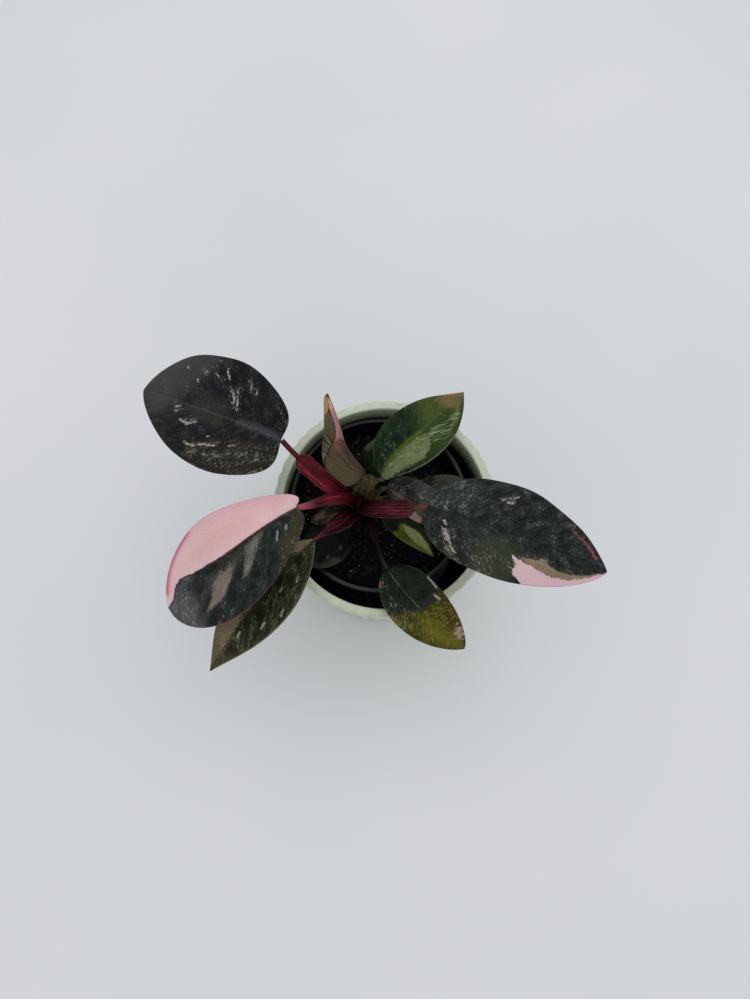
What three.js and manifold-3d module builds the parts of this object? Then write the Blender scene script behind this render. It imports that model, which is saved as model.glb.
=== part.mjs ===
// A young pink princess philodendron in its nursery pot, set down inside a glazed outer pot.
// Millimetres, +Z up. The origin is the middle of the outer pot's underside, on the surface
// that it stands on.

import * as THREE from 'three';
import Module from 'manifold-3d';

// ---------------------------------------------------------------- driving dimensions

// Room left between pieces that rest against each other.
const GAP = 0.3;

// outer pot; its inside is upright for the height of the neck and narrows below it
const POT_HEIGHT = 112;
const POT_RIM_RADIUS = 63.5;
const POT_FOOT_RADIUS = 57;
const POT_WALL = 5.4;
const POT_FLOOR = 6;
const POT_FOOT_ROUND = 4;
const POT_RIM_ROUND = 1.2;
const POT_NECK = 24;
const FLUTES = 46;
const FLUTE_DEPTH = 0.7;
const FLUTE_START = 9;

// nursery pot, pushed to the outer pot's back left
const NURSERY_PLACE = new THREE.Vector2(-3.2, 4.2);
const NURSERY_HEIGHT = 94.5;
const NURSERY_LIP_RADIUS = 52.5;
const NURSERY_FOOT_RADIUS = 38;
const NURSERY_WALL = 1.2;
const NURSERY_LIP_WIDTH = 1.8;
const NURSERY_LIP_DEPTH = 9;
const NURSERY_ROUND = 0.8;
const NURSERY_SIDES = 40;
const DRAIN_HOLES = 6;
const DRAIN_RADIUS = 4;
const DRAIN_REACH = 26;
const DRAIN_SIDES = 10;

// soil; each wave of its top is [share, turn per mm along x, turn per mm along y, phase]
const SOIL_TOP = 87;
const SOIL_BUMP = 1.3;
const SOIL_EDGE_FALL = 2;
const SOIL_SIDES = 30;
const SOIL_RINGS = [1, 0.86, 0.7, 0.53, 0.36, 0.18];
const SOIL_WAVES = [[0.5, 0.13, 0.16, 0.6], [0.35, 0.37, -0.29, 1.1], [0.25, 0.52, 0.61, 1.6]];

// stem, as the four points of a Bezier curve; it swells by a share at each leaf's joint
const STEM_PATH = [[-12, 6, 55], [-14.5, 5.5, 80], [-15.3, 2, 100], [-15, -2.5, 123]];
const STEM_RADIUS = [5.6, 4.4];
const STEM_NODE = 0.12;
const STEM_NODE_LENGTH = 0.025;
const STEM_TAPER = { from: 0.94, to: 0.55 };
const STEM_SIDES = 12;
const STEM_STEPS = 22;

// leaf stalks, which end a little short of their blades; thickness, flatness and curl of the
// wings are shares of the stalk's width
const STALK_SHORT = 0.36;
const STALK_SIDES = 8;
const STALK_STEPS = 11;
const STALK_RISE = 0.35;
const WING = { over: 4, thick: 0.42, flat: 0.4, curl: 0.16 };

// blades; the neck is the half width that they keep at the stalk and at the tip
const BLADE_THICKNESS = 0.75;
const BLADE_NECK = [1.3, 0.5];
const MIDRIB_DEPTH = [1.3, 0.4];
const MIDRIB_HALF = 2.4;
const LOBE_AT = 0.09;
const LOBE_SPREAD = 1.3;

// Places of the columns across a blade, closer at the midrib, and how much its rows bunch up
// towards both ends.
const BLADE_COLUMNS = [-1, -0.74, -0.46, -0.2, 0, 0.2, 0.46, 0.74, 1];
const ROW_BUNCHING = 0.6;

// Each leaf:
//   rib     the midrib, as the four points of a Bezier curve from the stalk to the tip
//   width   the half widths at the widest place, left and right of the midrib
//   shape   for the left and the right half, the fullness of the base end and of the tip end;
//           less is fuller
//   lobe    how far the two base lobes reach back, as shares of the rib's length
//   fold    the rise of each half from the midrib, in degrees, at the base and at the tip
//   cup     the fall of the margins; wave and waves: the rise and number of the margin's waves
//   stalk   joint: the height at which it leaves the stem; bends: the two middle points of its
//           curve; sheath: width at the stem, full width, where it ends and over what share of
//           the length it narrows, and the width of the bare stalk beyond it
const LEAVES = [
  {
    rib: [[-53.5, 23, 162], [-71.5, 28.5, 174.5], [-96.5, 38, 168.5], [-131.3, 57.3, 144]],
    width: [29.6, 30.2], shape: [[0.6, 0.84], [0.62, 0.49]], lobe: [0.04, 0.04], fold: [16, 10],
    cup: -0.1, wave: 0.9, waves: 2.5, rows: 16, colour: 'charcoal',
    stalk: { joint: 112, bends: [[-27.5, 3.5, 135], [-41.5, 10.5, 156]],
      sheath: [7, 9.8, 0.68, 0.1, 2.8], colour: 'crimson' },
  },
  {
    rib: [[-45.5, -11, 155], [-62.5, -23, 170], [-82, -43.5, 160.5], [-115.3, -58.8, 126]],
    width: [26.5, 23.9], shape: [[0.86, 0.55], [1.05, 0.6]], lobe: [0.05, 0.1], fold: [18, 8],
    cup: -0.12, wave: 0.7, waves: 2, rows: 16, colour: 'charcoal',
    stalk: { joint: 116, bends: [[-22, 3.5, 134], [-33, -8, 150]],
      sheath: [8, 6.8, 0.5, 0.5, 3], colour: 'crimson' },
  },
  {
    rib: [[-38, -24.5, 137], [-55, -44, 147], [-74, -65, 141], [-93, -91.5, 119]],
    width: [17.5, 14.5], shape: [[1.03, 1.14], [1.06, 1.16]], lobe: [0, 0], fold: [20, 12],
    cup: -0.05, wave: 0.8, waves: 2.5, rows: 15, colour: 'moss',
    stalk: { joint: 108, bends: [[-21, -10.5, 122], [-28.5, -16.5, 132]],
      sheath: [9, 9.8, 0.5, 0.45, 2], colour: 'burgundy' },
  },
  {
    rib: [[21.5, -11, 157], [50, -21.5, 170.5], [80.5, -32.5, 165.5], [114, -42, 142]],
    width: [22.5, 25], shape: [[0.57, 0.8], [0.5, 0.79]], lobe: [0.01, 0.01], fold: [18, 8],
    cup: -0.08, wave: 0.9, waves: 3, rows: 16, colour: 'charcoal',
    stalk: { joint: 118, bends: [[-5, -9.5, 140], [9.5, -11, 152]],
      sheath: [8, 10, 0.72, 0.08, 2.8], colour: 'burgundy' },
  },
  {
    rib: [[-0.5, 10.5, 132], [9, 25.5, 144.5], [24.5, 39.5, 142.5], [44.5, 62.5, 127]],
    width: [17, 16.7], shape: [[0.7, 1.02], [1.06, 0.98]], lobe: [0, 0], fold: [22, 14],
    cup: -0.05, wave: 0.7, waves: 2, rows: 13, colour: 'green',
    stalk: { joint: 106, bends: [[-15.5, 10.5, 121], [-6.5, 10.5, 129.5]],
      sheath: [8, 9.5, 0.6, 0.25, 2.4], colour: 'mottled' },
  },
  {
    rib: [[1.5, -37.5, 118], [11, -54, 126.5], [26, -67.5, 124.5], [43, -79.5, 112]],
    width: [15, 14.5], shape: [[0.48, 0.66], [0.65, 0.88]], lobe: [0, 0], fold: [16, 8],
    cup: -0.05, wave: 0.6, waves: 2, rows: 13, colour: 'olive',
    stalk: { joint: 92, bends: [[-6, -6, 104], [-6, -25, 114]],
      sheath: [6.5, 5, 0.45, 0.15, 2], colour: 'burgundy' },
  },
  {
    rib: [[-13.5, 14.5, 117], [-29.5, 33, 124], [-20, 27.5, 143], [-31, 52.5, 151]],
    width: [14.4, 3.4], shape: [[0.27, 0.49], [0.27, 2.2]], lobe: [0, 0], fold: [22, 50],
    cup: 0.06, wave: 0.7, waves: 2, rows: 13, colour: 'taupe',
    stalk: { joint: 104, bends: [[-15.5, 6, 107], [-14, 11, 112]],
      sheath: [5, 4.5, 0.5, 0.3, 3], colour: 'mottled' },
  },
  {
    rib: [[-0.5, -6, 107], [11.5, -14.5, 108], [19.5, -18.5, 104.5], [28.5, -26.5, 96]],
    width: [7.5, 5], shape: [[1.06, 1.14], [0.59, 0.92]], lobe: [0, 0], fold: [30, 20],
    cup: 0, wave: 0.4, waves: 1.5, rows: 10, colour: 'lime',
    stalk: { joint: 98, bends: [[-8.5, -1, 106], [-4.5, -4, 108]],
      sheath: [4.6, 4, 0.4, 0.3, 2.4], colour: 'mottled' },
  },
  {
    rib: [[1, 9, 118], [13.5, 2.5, 123.5], [25, -3, 123.5], [39.5, -5, 118]],
    width: [10, 12], shape: [[0.5, 0.91], [1.1, 0.71]], lobe: [0, 0], fold: [18, 10],
    cup: -0.05, wave: 0.5, waves: 1.5, rows: 11, colour: 'charcoal',
    stalk: { joint: 102, bends: [[-9.5, 5, 112], [-4, 7, 117]],
      sheath: [6, 6.5, 0.5, 0.3, 2.6], colour: 'mottled' },
  },
  {
    rib: [[6.5, 9.5, 101], [24.5, 7.5, 108.5], [38.5, 8, 109], [51, 5.5, 103]],
    width: [11.5, 11.5], shape: [[0.94, 0.51], [0.94, 0.51]], lobe: [0, 0], fold: [18, 10],
    cup: -0.05, wave: 0.5, waves: 1.5, rows: 10, colour: 'green',
    stalk: { joint: 95, bends: [[-6, 5, 101.5], [0.5, 8, 102]],
      sheath: [4.4, 3.8, 0.4, 0.3, 2.2], colour: 'mottled' },
  },
  {
    rib: [[-9.5, 17.5, 107], [-3.5, 25, 116], [1, 33.5, 116.5], [7, 46.5, 108]],
    width: [10, 10], shape: [[0.73, 1.05], [0.73, 1.05]], lobe: [0, 0], fold: [18, 10],
    cup: -0.05, wave: 0.5, waves: 1.5, rows: 10, colour: 'green',
    stalk: { joint: 98, bends: [[-13.5, 8.5, 105], [-12, 13, 108]],
      sheath: [4.6, 4, 0.4, 0.3, 2.2], colour: 'mottled' },
  },
  {
    rib: [[-21.5, -12, 103.5], [-30.5, -19.5, 107.5], [-38.5, -26, 107.5], [-47, -30.5, 103]],
    width: [12.5, 12.5], shape: [[0.56, 0.73], [0.56, 0.73]], lobe: [0, 0], fold: [18, 10],
    cup: -0.05, wave: 0.4, waves: 1.5, rows: 10, colour: 'green',
    stalk: { joint: 93, bends: [[-16.5, -3.5, 101], [-19.5, -8, 103.5]],
      sheath: [4.6, 4, 0.4, 0.3, 2.2], colour: 'mottled' },
  },
  {
    rib: [[-22.5, -3, 110], [-29, -3.5, 114.5], [-34.5, -8, 114.5], [-42, -8.5, 110]],
    width: [4.5, 4], shape: [[0.6, 0.65], [0.6, 0.65]], lobe: [0.05, 0.05], fold: [26, 20],
    cup: 0, wave: 0.3, waves: 1.5, rows: 9, colour: 'mottled',
    stalk: { joint: 103, bends: [[-18, -1, 109], [-20.5, -2.5, 110.5]],
      sheath: [4.4, 4, 0.4, 0.3, 2.6], colour: 'mottled' },
  },
];

// ---------------------------------------------------------------- colours

const finish = (color, roughness, metalness = 0) => ({ color, roughness, metalness });

const FINISHES = {
  glaze: finish(0xb9c9b0, 0.3),
  blackPlastic: finish(0x101114, 0.45),
  soil: finish(0x17130f, 0.95),
  stem: finish(0x4a2530, 0.55),
  crimson: finish(0x7c2038, 0.4),
  burgundy: finish(0x5a1f33, 0.42),
  mottled: finish(0x77703c, 0.5),
  charcoal: finish(0x222b28, 0.4),
  moss: finish(0x36412a, 0.42),
  green: finish(0x2f4f2c, 0.4),
  olive: finish(0x5c5f1e, 0.42),
  lime: finish(0x8a9a2e, 0.45),
  taupe: finish(0x9a8474, 0.5),
};

// ---------------------------------------------------------------- small helpers

const wasm = await Module();
wasm.setup();

const vec = ([x, y, z]) => new THREE.Vector3(x, y, z);
const mix = (a, b, t) => a + (b - a) * t;
const radians = THREE.MathUtils.degToRad;
const curveOf = (points) => new THREE.CubicBezierCurve3(...points.map(vec));

// Evenly spaced numbers from 0 to 1, with the 1 and without it.
const steps = (count) => Array.from({ length: count + 1 }, (_, i) => i / count);
const turns = (count) => steps(count).slice(0, count);

// The volume inside a closed mesh, positive when its faces point out.
function signedVolume({ points, faces }) {
  return faces.reduce((sum, [a, b, c]) => {
    const cross = new THREE.Vector3().crossVectors(points[b], points[c]);
    return sum + points[a].dot(cross) / 6;
  }, 0);
}

// Turns a closed mesh's faces outwards.
function outward(shape) {
  if (signedVolume(shape) > 0) return shape;
  return { points: shape.points, faces: shape.faces.map(([a, b, c]) => [a, c, b]) };
}

// The closed skin over a row of rings with equal counts of points, with a fan over each end.
function skin(rings) {
  const count = rings[0].length;
  const points = rings.flat();
  const faces = [];
  for (let ring = 0; ring < rings.length - 1; ring += 1) {
    for (let k = 0; k < count; k += 1) {
      const next = (k + 1) % count;
      const low = ring * count;
      const high = low + count;
      faces.push([low + k, low + next, high + next]);
      faces.push([low + k, high + next, high + k]);
    }
  }
  for (const [ring, flip] of [[0, true], [rings.length - 1, false]]) {
    const middle = points.length;
    const sum = rings[ring].reduce((total, p) => total.add(p), new THREE.Vector3());
    points.push(sum.divideScalar(count));
    for (let k = 0; k < count; k += 1) {
      const a = ring * count + k;
      const b = ring * count + ((k + 1) % count);
      faces.push(flip ? [middle, b, a] : [middle, a, b]);
    }
  }
  return outward({ points, faces });
}

// A closed slab between two sheets of points with equal rows and columns, split alike on both.
function slab(top, bottom) {
  const rows = top.length;
  const columns = top[0].length;
  const size = rows * columns;
  const points = [...top.flat(), ...bottom.flat()];
  const at = (row, column) => row * columns + column;
  const faces = [];
  const quad = (a, b, c, d) => faces.push([a, b, c], [a, c, d]);
  for (let r = 0; r < rows - 1; r += 1) {
    for (let c = 0; c < columns - 1; c += 1) {
      const corners = [at(r, c), at(r, c + 1), at(r + 1, c + 1), at(r + 1, c)];
      quad(...corners);
      const [p, q, s, t] = corners.map((index) => index + size);
      faces.push([p, s, q], [p, t, s]);
    }
  }
  const wall = (a, b) => quad(a, a + size, b + size, b);
  for (let c = 0; c < columns - 1; c += 1) {
    wall(at(0, c), at(0, c + 1));
    wall(at(rows - 1, c + 1), at(rows - 1, c));
  }
  for (let r = 0; r < rows - 1; r += 1) {
    wall(at(r + 1, 0), at(r, 0));
    wall(at(r, columns - 1), at(r + 1, columns - 1));
  }
  return outward({ points, faces });
}

// A closed mesh as a solid for cutting, and back again.
function toSolid({ points, faces }) {
  const vertProperties = new Float32Array(points.flatMap((p) => [p.x, p.y, p.z]));
  const triVerts = new Uint32Array(faces.flat());
  return new wasm.Manifold(new wasm.Mesh({ numProp: 3, vertProperties, triVerts }));
}

// Points that a cut leaves within a hundredth of a millimetre of each other become one, and the
// faces that lose a side by it go.
function toShape(solid) {
  const { vertProperties, triVerts } = solid.getMesh();
  const points = [];
  const seen = new Map();
  const merged = [];
  for (let i = 0; i < vertProperties.length; i += 3) {
    const place = [...vertProperties.slice(i, i + 3)].map((x) => Math.round(x * 100) / 100);
    const key = place.join();
    if (!seen.has(key)) seen.set(key, points.push(vec(place)) - 1);
    merged.push(seen.get(key));
  }
  const faces = [];
  for (let i = 0; i < triVerts.length; i += 3) {
    const face = [...triVerts.slice(i, i + 3)].map((index) => merged[index]);
    if (new Set(face).size === 3) faces.push(face);
  }
  return { points, faces };
}

// The largest of a solid's separate pieces.
function largest(solid) {
  return solid.decompose().reduce((best, piece) => (piece.volume() > best.volume() ? piece : best));
}

function toMesh(name, { points, faces }, material) {
  const geometry = new THREE.BufferGeometry().setFromPoints(points);
  geometry.setIndex(faces.flat());
  geometry.computeVertexNormals();
  const mesh = new THREE.Mesh(geometry, new THREE.MeshStandardMaterial(FINISHES[material]));
  mesh.name = name;
  return mesh;
}

// A flat ring of points round the vertical line through a place.
function levelRing(count, z, radiusAt, place = { x: 0, y: 0 }) {
  return turns(count).map((turn) => {
    const angle = turn * 2 * Math.PI;
    const radius = radiusAt(turn);
    return vec([place.x + radius * Math.cos(angle), place.y + radius * Math.sin(angle), z]);
  });
}

// ---------------------------------------------------------------- pots and soil

const potOutside = (z) => mix(POT_FOOT_RADIUS, POT_RIM_RADIUS, z / POT_HEIGHT);

// The outer pot: two columns a flute, so its crests and grooves are both on the mesh.
function outerPot() {
  const columns = 2 * FLUTES;
  const ring = (z, radius, share = 0) => levelRing(columns, z, (turn) => {
    const groove = Math.round(turn * columns) % 2;
    return radius - groove * share * FLUTE_DEPTH;
  });
  const footRings = [0, 45, 90].map((degrees) => {
    const angle = radians(degrees);
    const radius = potOutside(POT_FOOT_ROUND) - POT_FOOT_ROUND * (1 - Math.sin(angle));
    return ring(POT_FOOT_ROUND * (1 - Math.cos(angle)), radius);
  });
  const inside = POT_RIM_RADIUS - POT_WALL;
  const insideFoot = potOutside(POT_FLOOR) - POT_WALL;
  const belowRim = POT_HEIGHT - POT_RIM_ROUND;
  return skin([
    ...footRings,
    ring(FLUTE_START, potOutside(FLUTE_START), 1),
    ring(belowRim, potOutside(belowRim), 1),
    ring(POT_HEIGHT, potOutside(POT_HEIGHT) - POT_RIM_ROUND, 1),
    ring(POT_HEIGHT, inside + POT_RIM_ROUND),
    ring(belowRim, inside),
    ring(POT_HEIGHT - POT_NECK, inside),
    ring(POT_FLOOR + POT_FOOT_ROUND, insideFoot),
    ring(POT_FLOOR, insideFoot - POT_FOOT_ROUND),
  ]);
}

// The nursery pot's heights, and its outside and inside radius at a height.
const NURSERY_BASE = POT_FLOOR + GAP;
const NURSERY_TOP = NURSERY_BASE + NURSERY_HEIGHT;

function nurseryOutside(z) {
  const top = NURSERY_LIP_RADIUS - NURSERY_LIP_WIDTH;
  return mix(NURSERY_FOOT_RADIUS, top, (z - NURSERY_BASE) / NURSERY_HEIGHT);
}

const nurseryInside = (z) => nurseryOutside(z) - NURSERY_WALL;

function nurseryPot() {
  const ring = (radius, z) => levelRing(NURSERY_SIDES, z, () => radius, NURSERY_PLACE);
  const lipFoot = NURSERY_TOP - NURSERY_LIP_DEPTH;
  const floor = NURSERY_BASE + NURSERY_WALL;
  const body = toSolid(skin([
    ring(NURSERY_FOOT_RADIUS - NURSERY_ROUND, NURSERY_BASE),
    ring(NURSERY_FOOT_RADIUS, NURSERY_BASE + NURSERY_ROUND),
    ring(nurseryOutside(lipFoot - NURSERY_ROUND), lipFoot - NURSERY_ROUND),
    ring(NURSERY_LIP_RADIUS - NURSERY_ROUND, lipFoot),
    ring(NURSERY_LIP_RADIUS, NURSERY_TOP - NURSERY_ROUND),
    ring(NURSERY_LIP_RADIUS - NURSERY_ROUND, NURSERY_TOP),
    ring(nurseryInside(NURSERY_TOP) + NURSERY_ROUND / 2, NURSERY_TOP),
    ring(nurseryInside(NURSERY_TOP), NURSERY_TOP - NURSERY_ROUND),
    ring(nurseryInside(floor + NURSERY_ROUND), floor + NURSERY_ROUND),
    ring(nurseryInside(floor) - NURSERY_ROUND, floor),
  ]));
  const holes = turns(DRAIN_HOLES).map((turn) => {
    const angle = turn * 2 * Math.PI;
    const place = {
      x: NURSERY_PLACE.x + DRAIN_REACH * Math.cos(angle),
      y: NURSERY_PLACE.y + DRAIN_REACH * Math.sin(angle),
    };
    const ends = [NURSERY_BASE - 1, floor + 1];
    return toSolid(skin(ends.map((z) => levelRing(DRAIN_SIDES, z, () => DRAIN_RADIUS, place))));
  });
  return toShape(holes.reduce((pot, hole) => pot.subtract(hole), body));
}

// The height of the soil's bumps at a place.
function soilBump(x, y) {
  const sum = SOIL_WAVES.reduce(
    (total, [share, alongX, alongY, phase]) => total + share * Math.sin(x * alongX + y * alongY + phase),
    0,
  );
  return SOIL_BUMP * sum;
}

// The root ball and the soil round it, rounded off at the pot's floor, with the stem's hole.
function soil(stemHole) {
  const bottom = NURSERY_BASE + NURSERY_WALL + GAP;
  const shoulder = SOIL_TOP - NURSERY_LIP_DEPTH;
  const edge = (z) => nurseryInside(z) - GAP;
  const level = (z, radius) => levelRing(SOIL_SIDES, z, () => radius, NURSERY_PLACE);
  const topRing = (share) => {
    const ring = level(SOIL_TOP, share * edge(SOIL_TOP - SOIL_EDGE_FALL));
    ring.forEach((p) => p.setZ(SOIL_TOP + soilBump(p.x, p.y) - SOIL_EDGE_FALL * share ** 6));
    return ring;
  };
  const body = skin([
    level(bottom, edge(bottom) - 2 * NURSERY_ROUND),
    level(bottom + 2, edge(bottom) - GAP),
    level(shoulder, edge(shoulder)),
    ...SOIL_RINGS.map(topRing),
  ]);
  return toShape(toSolid(body).subtract(stemHole));
}

// ---------------------------------------------------------------- stem and leaf stalks

const stemCurve = curveOf(STEM_PATH);

// The share of the stem's length at which it reaches a height.
function stemShareAt(z) {
  let [low, high] = [0, 1];
  for (let i = 0; i < 30; i += 1) {
    const middle = (low + high) / 2;
    if (stemCurve.getPoint(middle).z < z) low = middle;
    else high = middle;
  }
  return low;
}

// A ring of points across a curve, from a section given as [side, up] pairs. It lies square to
// the curve, or to another direction.
function crossRing(curve, share, section, along = curve.getTangent(share)) {
  const side = new THREE.Vector3().crossVectors(along, new THREE.Vector3(0, 0, 1)).normalize();
  const up = new THREE.Vector3().crossVectors(side, along);
  const middle = curve.getPoint(share);
  return section.map(([a, b]) => middle.clone().addScaledVector(side, a).addScaledVector(up, b));
}

// The stem, made larger all round by an extra amount where it is used as a hole.
function stem(extra = 0) {
  const joints = LEAVES.map((leaf) => stemShareAt(leaf.stalk.joint - 3));
  const rings = steps(STEM_STEPS).map((share) => {
    const bump = (at) => Math.exp(-(((share - at) / STEM_NODE_LENGTH) ** 2));
    const swell = joints.reduce((sum, at) => sum + bump(at), 0);
    const last = Math.max(0, share - STEM_TAPER.from) / (1 - STEM_TAPER.from);
    const round = (1 + STEM_NODE * Math.min(swell, 1)) * mix(1, STEM_TAPER.to, last);
    const radius = mix(...STEM_RADIUS, share) * round + extra;
    return levelRing(STEM_SIDES, 0, () => radius).map((p) => p.add(stemCurve.getPoint(share)));
  });
  return skin(rings);
}

// The stalk's width at a share of its length: the sheath, then the bare stalk.
function stalkWidth([foot, full, until, over, bare], share) {
  if (share < STALK_RISE) return mix(foot, full, share / STALK_RISE);
  if (share < until) return full;
  return mix(full, bare, Math.min(1, (share - until) / over));
}

// A stalk's section: flat-topped and channelled where it is wide, round where it is bare.
function stalkSection(width, bare, extra) {
  const wing = Math.min(1, (width - bare) / WING.over);
  const thick = mix(bare, Math.max(bare, width * WING.thick), wing) + 2 * extra;
  const wide = width + 2 * extra;
  return turns(STALK_SIDES).map((turn) => {
    const angle = turn * 2 * Math.PI;
    const across = Math.cos(angle);
    const flat = Math.sin(angle) > 0 ? 1 - WING.flat * wing : 1;
    const curl = WING.curl * wing * wide * (across ** 2 - 0.5);
    return [across * wide / 2, Math.sin(angle) * flat * thick / 2 + curl];
  });
}

function stalkCurve(leaf) {
  const start = stemCurve.getPoint(stemShareAt(leaf.stalk.joint));
  const rib = curveOf(leaf.rib);
  const end = rib.getPoint(0).addScaledVector(rib.getTangent(0), -STALK_SHORT);
  return new THREE.CubicBezierCurve3(start, ...leaf.stalk.bends.map(vec), end);
}

function stalk(leaf, extra = 0) {
  const curve = stalkCurve(leaf);
  const { sheath } = leaf.stalk;
  const rings = steps(STALK_STEPS).map((share) => {
    const section = stalkSection(stalkWidth(sheath, share), sheath[4], extra);
    const along = share < 1 ? curve.getTangent(share) : curveOf(leaf.rib).getTangent(0);
    return crossRing(curve, share, section, along);
  });
  return skin(rings);
}

// ---------------------------------------------------------------- blades

// A half blade's fullness, 0 at its ends and 1 at the widest place.
function fullness([base, tip], s) {
  const widest = base / (base + tip);
  const rise = Math.max(s, 1e-9) / widest;
  const fall = Math.max(1 - s, 1e-9) / (1 - widest);
  return rise ** base * fall ** tip;
}

// The point on a blade's middle surface and the direction out of it.
// s runs from the stalk (0) to the tip (1), t from the left margin (-1) to the right one (1).
function bladePoint(leaf, rib, s, t) {
  const along = rib.getTangent(s);
  const side = new THREE.Vector3().crossVectors(along, new THREE.Vector3(0, 0, 1)).normalize();
  const up = new THREE.Vector3().crossVectors(side, along);
  const across = Math.abs(t);
  const hand = Math.sign(t);
  const which = t < 0 ? 0 : 1;
  const full = fullness(leaf.shape[which], s);
  const half = mix(...BLADE_NECK, s) + leaf.width[which] * full;
  const fold = radians(mix(...leaf.fold, s));
  const ripple = Math.sin(2 * Math.PI * (leaf.waves * s + 0.25 * hand));
  const rise = half * (across * Math.sin(fold) + leaf.cup * across ** 2)
    + leaf.wave * across ** 2 * ripple * full;
  const length = vec(leaf.rib[3]).distanceTo(vec(leaf.rib[0]));
  const reach = s / LOBE_AT;
  const back = length * leaf.lobe[which] * reach * Math.exp(1 - reach) * across ** LOBE_SPREAD;
  const point = rib.getPoint(s)
    .addScaledVector(side, half * t * Math.cos(fold))
    .addScaledVector(up, rise)
    .addScaledVector(along, -back);
  const out = up.clone().multiplyScalar(Math.cos(fold)).addScaledVector(side, -hand * Math.sin(fold));
  return { point, out, fromRib: half * across };
}

// A leaf blade, with its midrib standing out underneath.
function blade(leaf) {
  const rib = curveOf(leaf.rib);
  const shares = steps(leaf.rows).map((x) => mix(x, (1 - Math.cos(Math.PI * x)) / 2, ROW_BUNCHING));
  const sheet = (offset) => shares.map((s) => BLADE_COLUMNS.map((t) => {
    const { point, out, fromRib } = bladePoint(leaf, rib, s, t);
    return point.addScaledVector(out, offset(s, fromRib));
  }));
  const top = sheet(() => BLADE_THICKNESS / 2);
  const bottom = sheet((s, fromRib) => {
    const ridge = mix(...MIDRIB_DEPTH, s) * Math.exp(-((fromRib / MIDRIB_HALF) ** 2));
    return -BLADE_THICKNESS / 2 - ridge;
  });
  return slab(top, bottom);
}

// ---------------------------------------------------------------- the whole plant

const group = new THREE.Group();
group.add(toMesh('outer_pot', outerPot(), 'glaze'));
group.add(toMesh('nursery_pot', nurseryPot(), 'blackPlastic'));

const stemRoom = toSolid(stem(GAP));
group.add(toMesh('soil', soil(stemRoom), 'soil'));
group.add(toMesh('stem', stem(), 'stem'));

// The stalks leave the stem at their own heights. Where two cross at the crown, the one that
// leaves higher up lies over the other, which is cut back to make room for it.
const byHeight = LEAVES.map((leaf, index) => ({ leaf, number: String(index + 1).padStart(2, '0') }))
  .sort((a, b) => b.leaf.stalk.joint - a.leaf.stalk.joint);
let taken = stemRoom;
for (const { leaf, number } of byHeight) {
  const free = largest(toSolid(stalk(leaf)).subtract(taken));
  group.add(toMesh(`leaf_${number}_stalk`, toShape(free), leaf.stalk.colour));
  taken = taken.add(toSolid(stalk(leaf, GAP)));
}
for (const { leaf, number } of byHeight) {
  group.add(toMesh(`leaf_${number}_blade`, blade(leaf), leaf.colour));
}

export default group;
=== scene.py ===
import math
import random

import bpy
import numpy as np
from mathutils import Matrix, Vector, noise


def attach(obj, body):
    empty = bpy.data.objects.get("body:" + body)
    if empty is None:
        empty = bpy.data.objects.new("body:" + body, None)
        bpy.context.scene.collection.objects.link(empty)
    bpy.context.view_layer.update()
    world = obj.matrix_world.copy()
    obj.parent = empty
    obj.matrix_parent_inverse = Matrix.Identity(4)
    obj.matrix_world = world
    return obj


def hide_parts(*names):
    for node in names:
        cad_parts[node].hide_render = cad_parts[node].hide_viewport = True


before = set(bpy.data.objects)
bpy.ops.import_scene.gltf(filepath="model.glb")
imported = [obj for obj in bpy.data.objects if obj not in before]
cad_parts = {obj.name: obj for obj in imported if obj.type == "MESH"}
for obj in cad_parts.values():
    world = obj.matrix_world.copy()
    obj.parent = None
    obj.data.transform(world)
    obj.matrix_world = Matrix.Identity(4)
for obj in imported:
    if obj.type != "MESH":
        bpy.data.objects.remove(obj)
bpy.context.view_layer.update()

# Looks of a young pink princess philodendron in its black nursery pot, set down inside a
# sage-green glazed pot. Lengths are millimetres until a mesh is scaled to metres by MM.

MM = 0.001
UP = np.array([0.0, 0.0, 1.0])

# ---------------------------------------------------------------- sizes shared with the frame

POT_HEIGHT = 112
POT_RIM_RADIUS = 63.5
POT_FOOT_RADIUS = 57
POT_WALL = 5.4
POT_FLOOR = 6
POT_FOOT_ROUND = 4
POT_RIM_ROUND = 1.2
POT_NECK = 24
FLUTES = 46
FLUTE_DEPTH = 0.7
FLUTE_START = 9

NURSERY_PLACE = (-3.2, 4.2)
NURSERY_BASE = 6.3
NURSERY_TOP = 100.8
NURSERY_LIP_RADIUS = 52.5
NURSERY_FOOT_RADIUS = 38
NURSERY_WALL = 1.2
NURSERY_LIP_WIDTH = 1.8
NURSERY_LIP_DEPTH = 9
DRAIN_HOLES = 6
DRAIN_RADIUS = 4
DRAIN_REACH = 26

SOIL_TOP = 87
SOIL_BUMP = 1.3
SOIL_EDGE_FALL = 2
SOIL_WAVES = [[0.5, 0.13, 0.16, 0.6], [0.35, 0.37, -0.29, 1.1], [0.25, 0.52, 0.61, 1.6]]

STEM_PATH = [[-12, 6, 55], [-14.5, 5.5, 80], [-15.3, 2, 100], [-15, -2.5, 123]]
STEM_RADIUS = [5.6, 4.4]
STEM_NODE = 0.12
STEM_NODE_LENGTH = 0.025
STEM_TAPER = (0.94, 0.55)

STALK_SHORT = 0.36
STALK_RISE = 0.35
WING_OVER = 4
SHORT_SHOULDER = 0.2
WING_THICK = 0.42
WING_FLAT = 0.4
WING_CURL = 0.16

BLADE_THICKNESS = 0.75
BLADE_NECK = (1.3, 0.4)
MIDRIB_DEPTH = (1.3, 0.4)
LOBE_AT = 0.09
LOBE_SPREAD = 1.3
ROW_BUNCHING = 0.6

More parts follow.
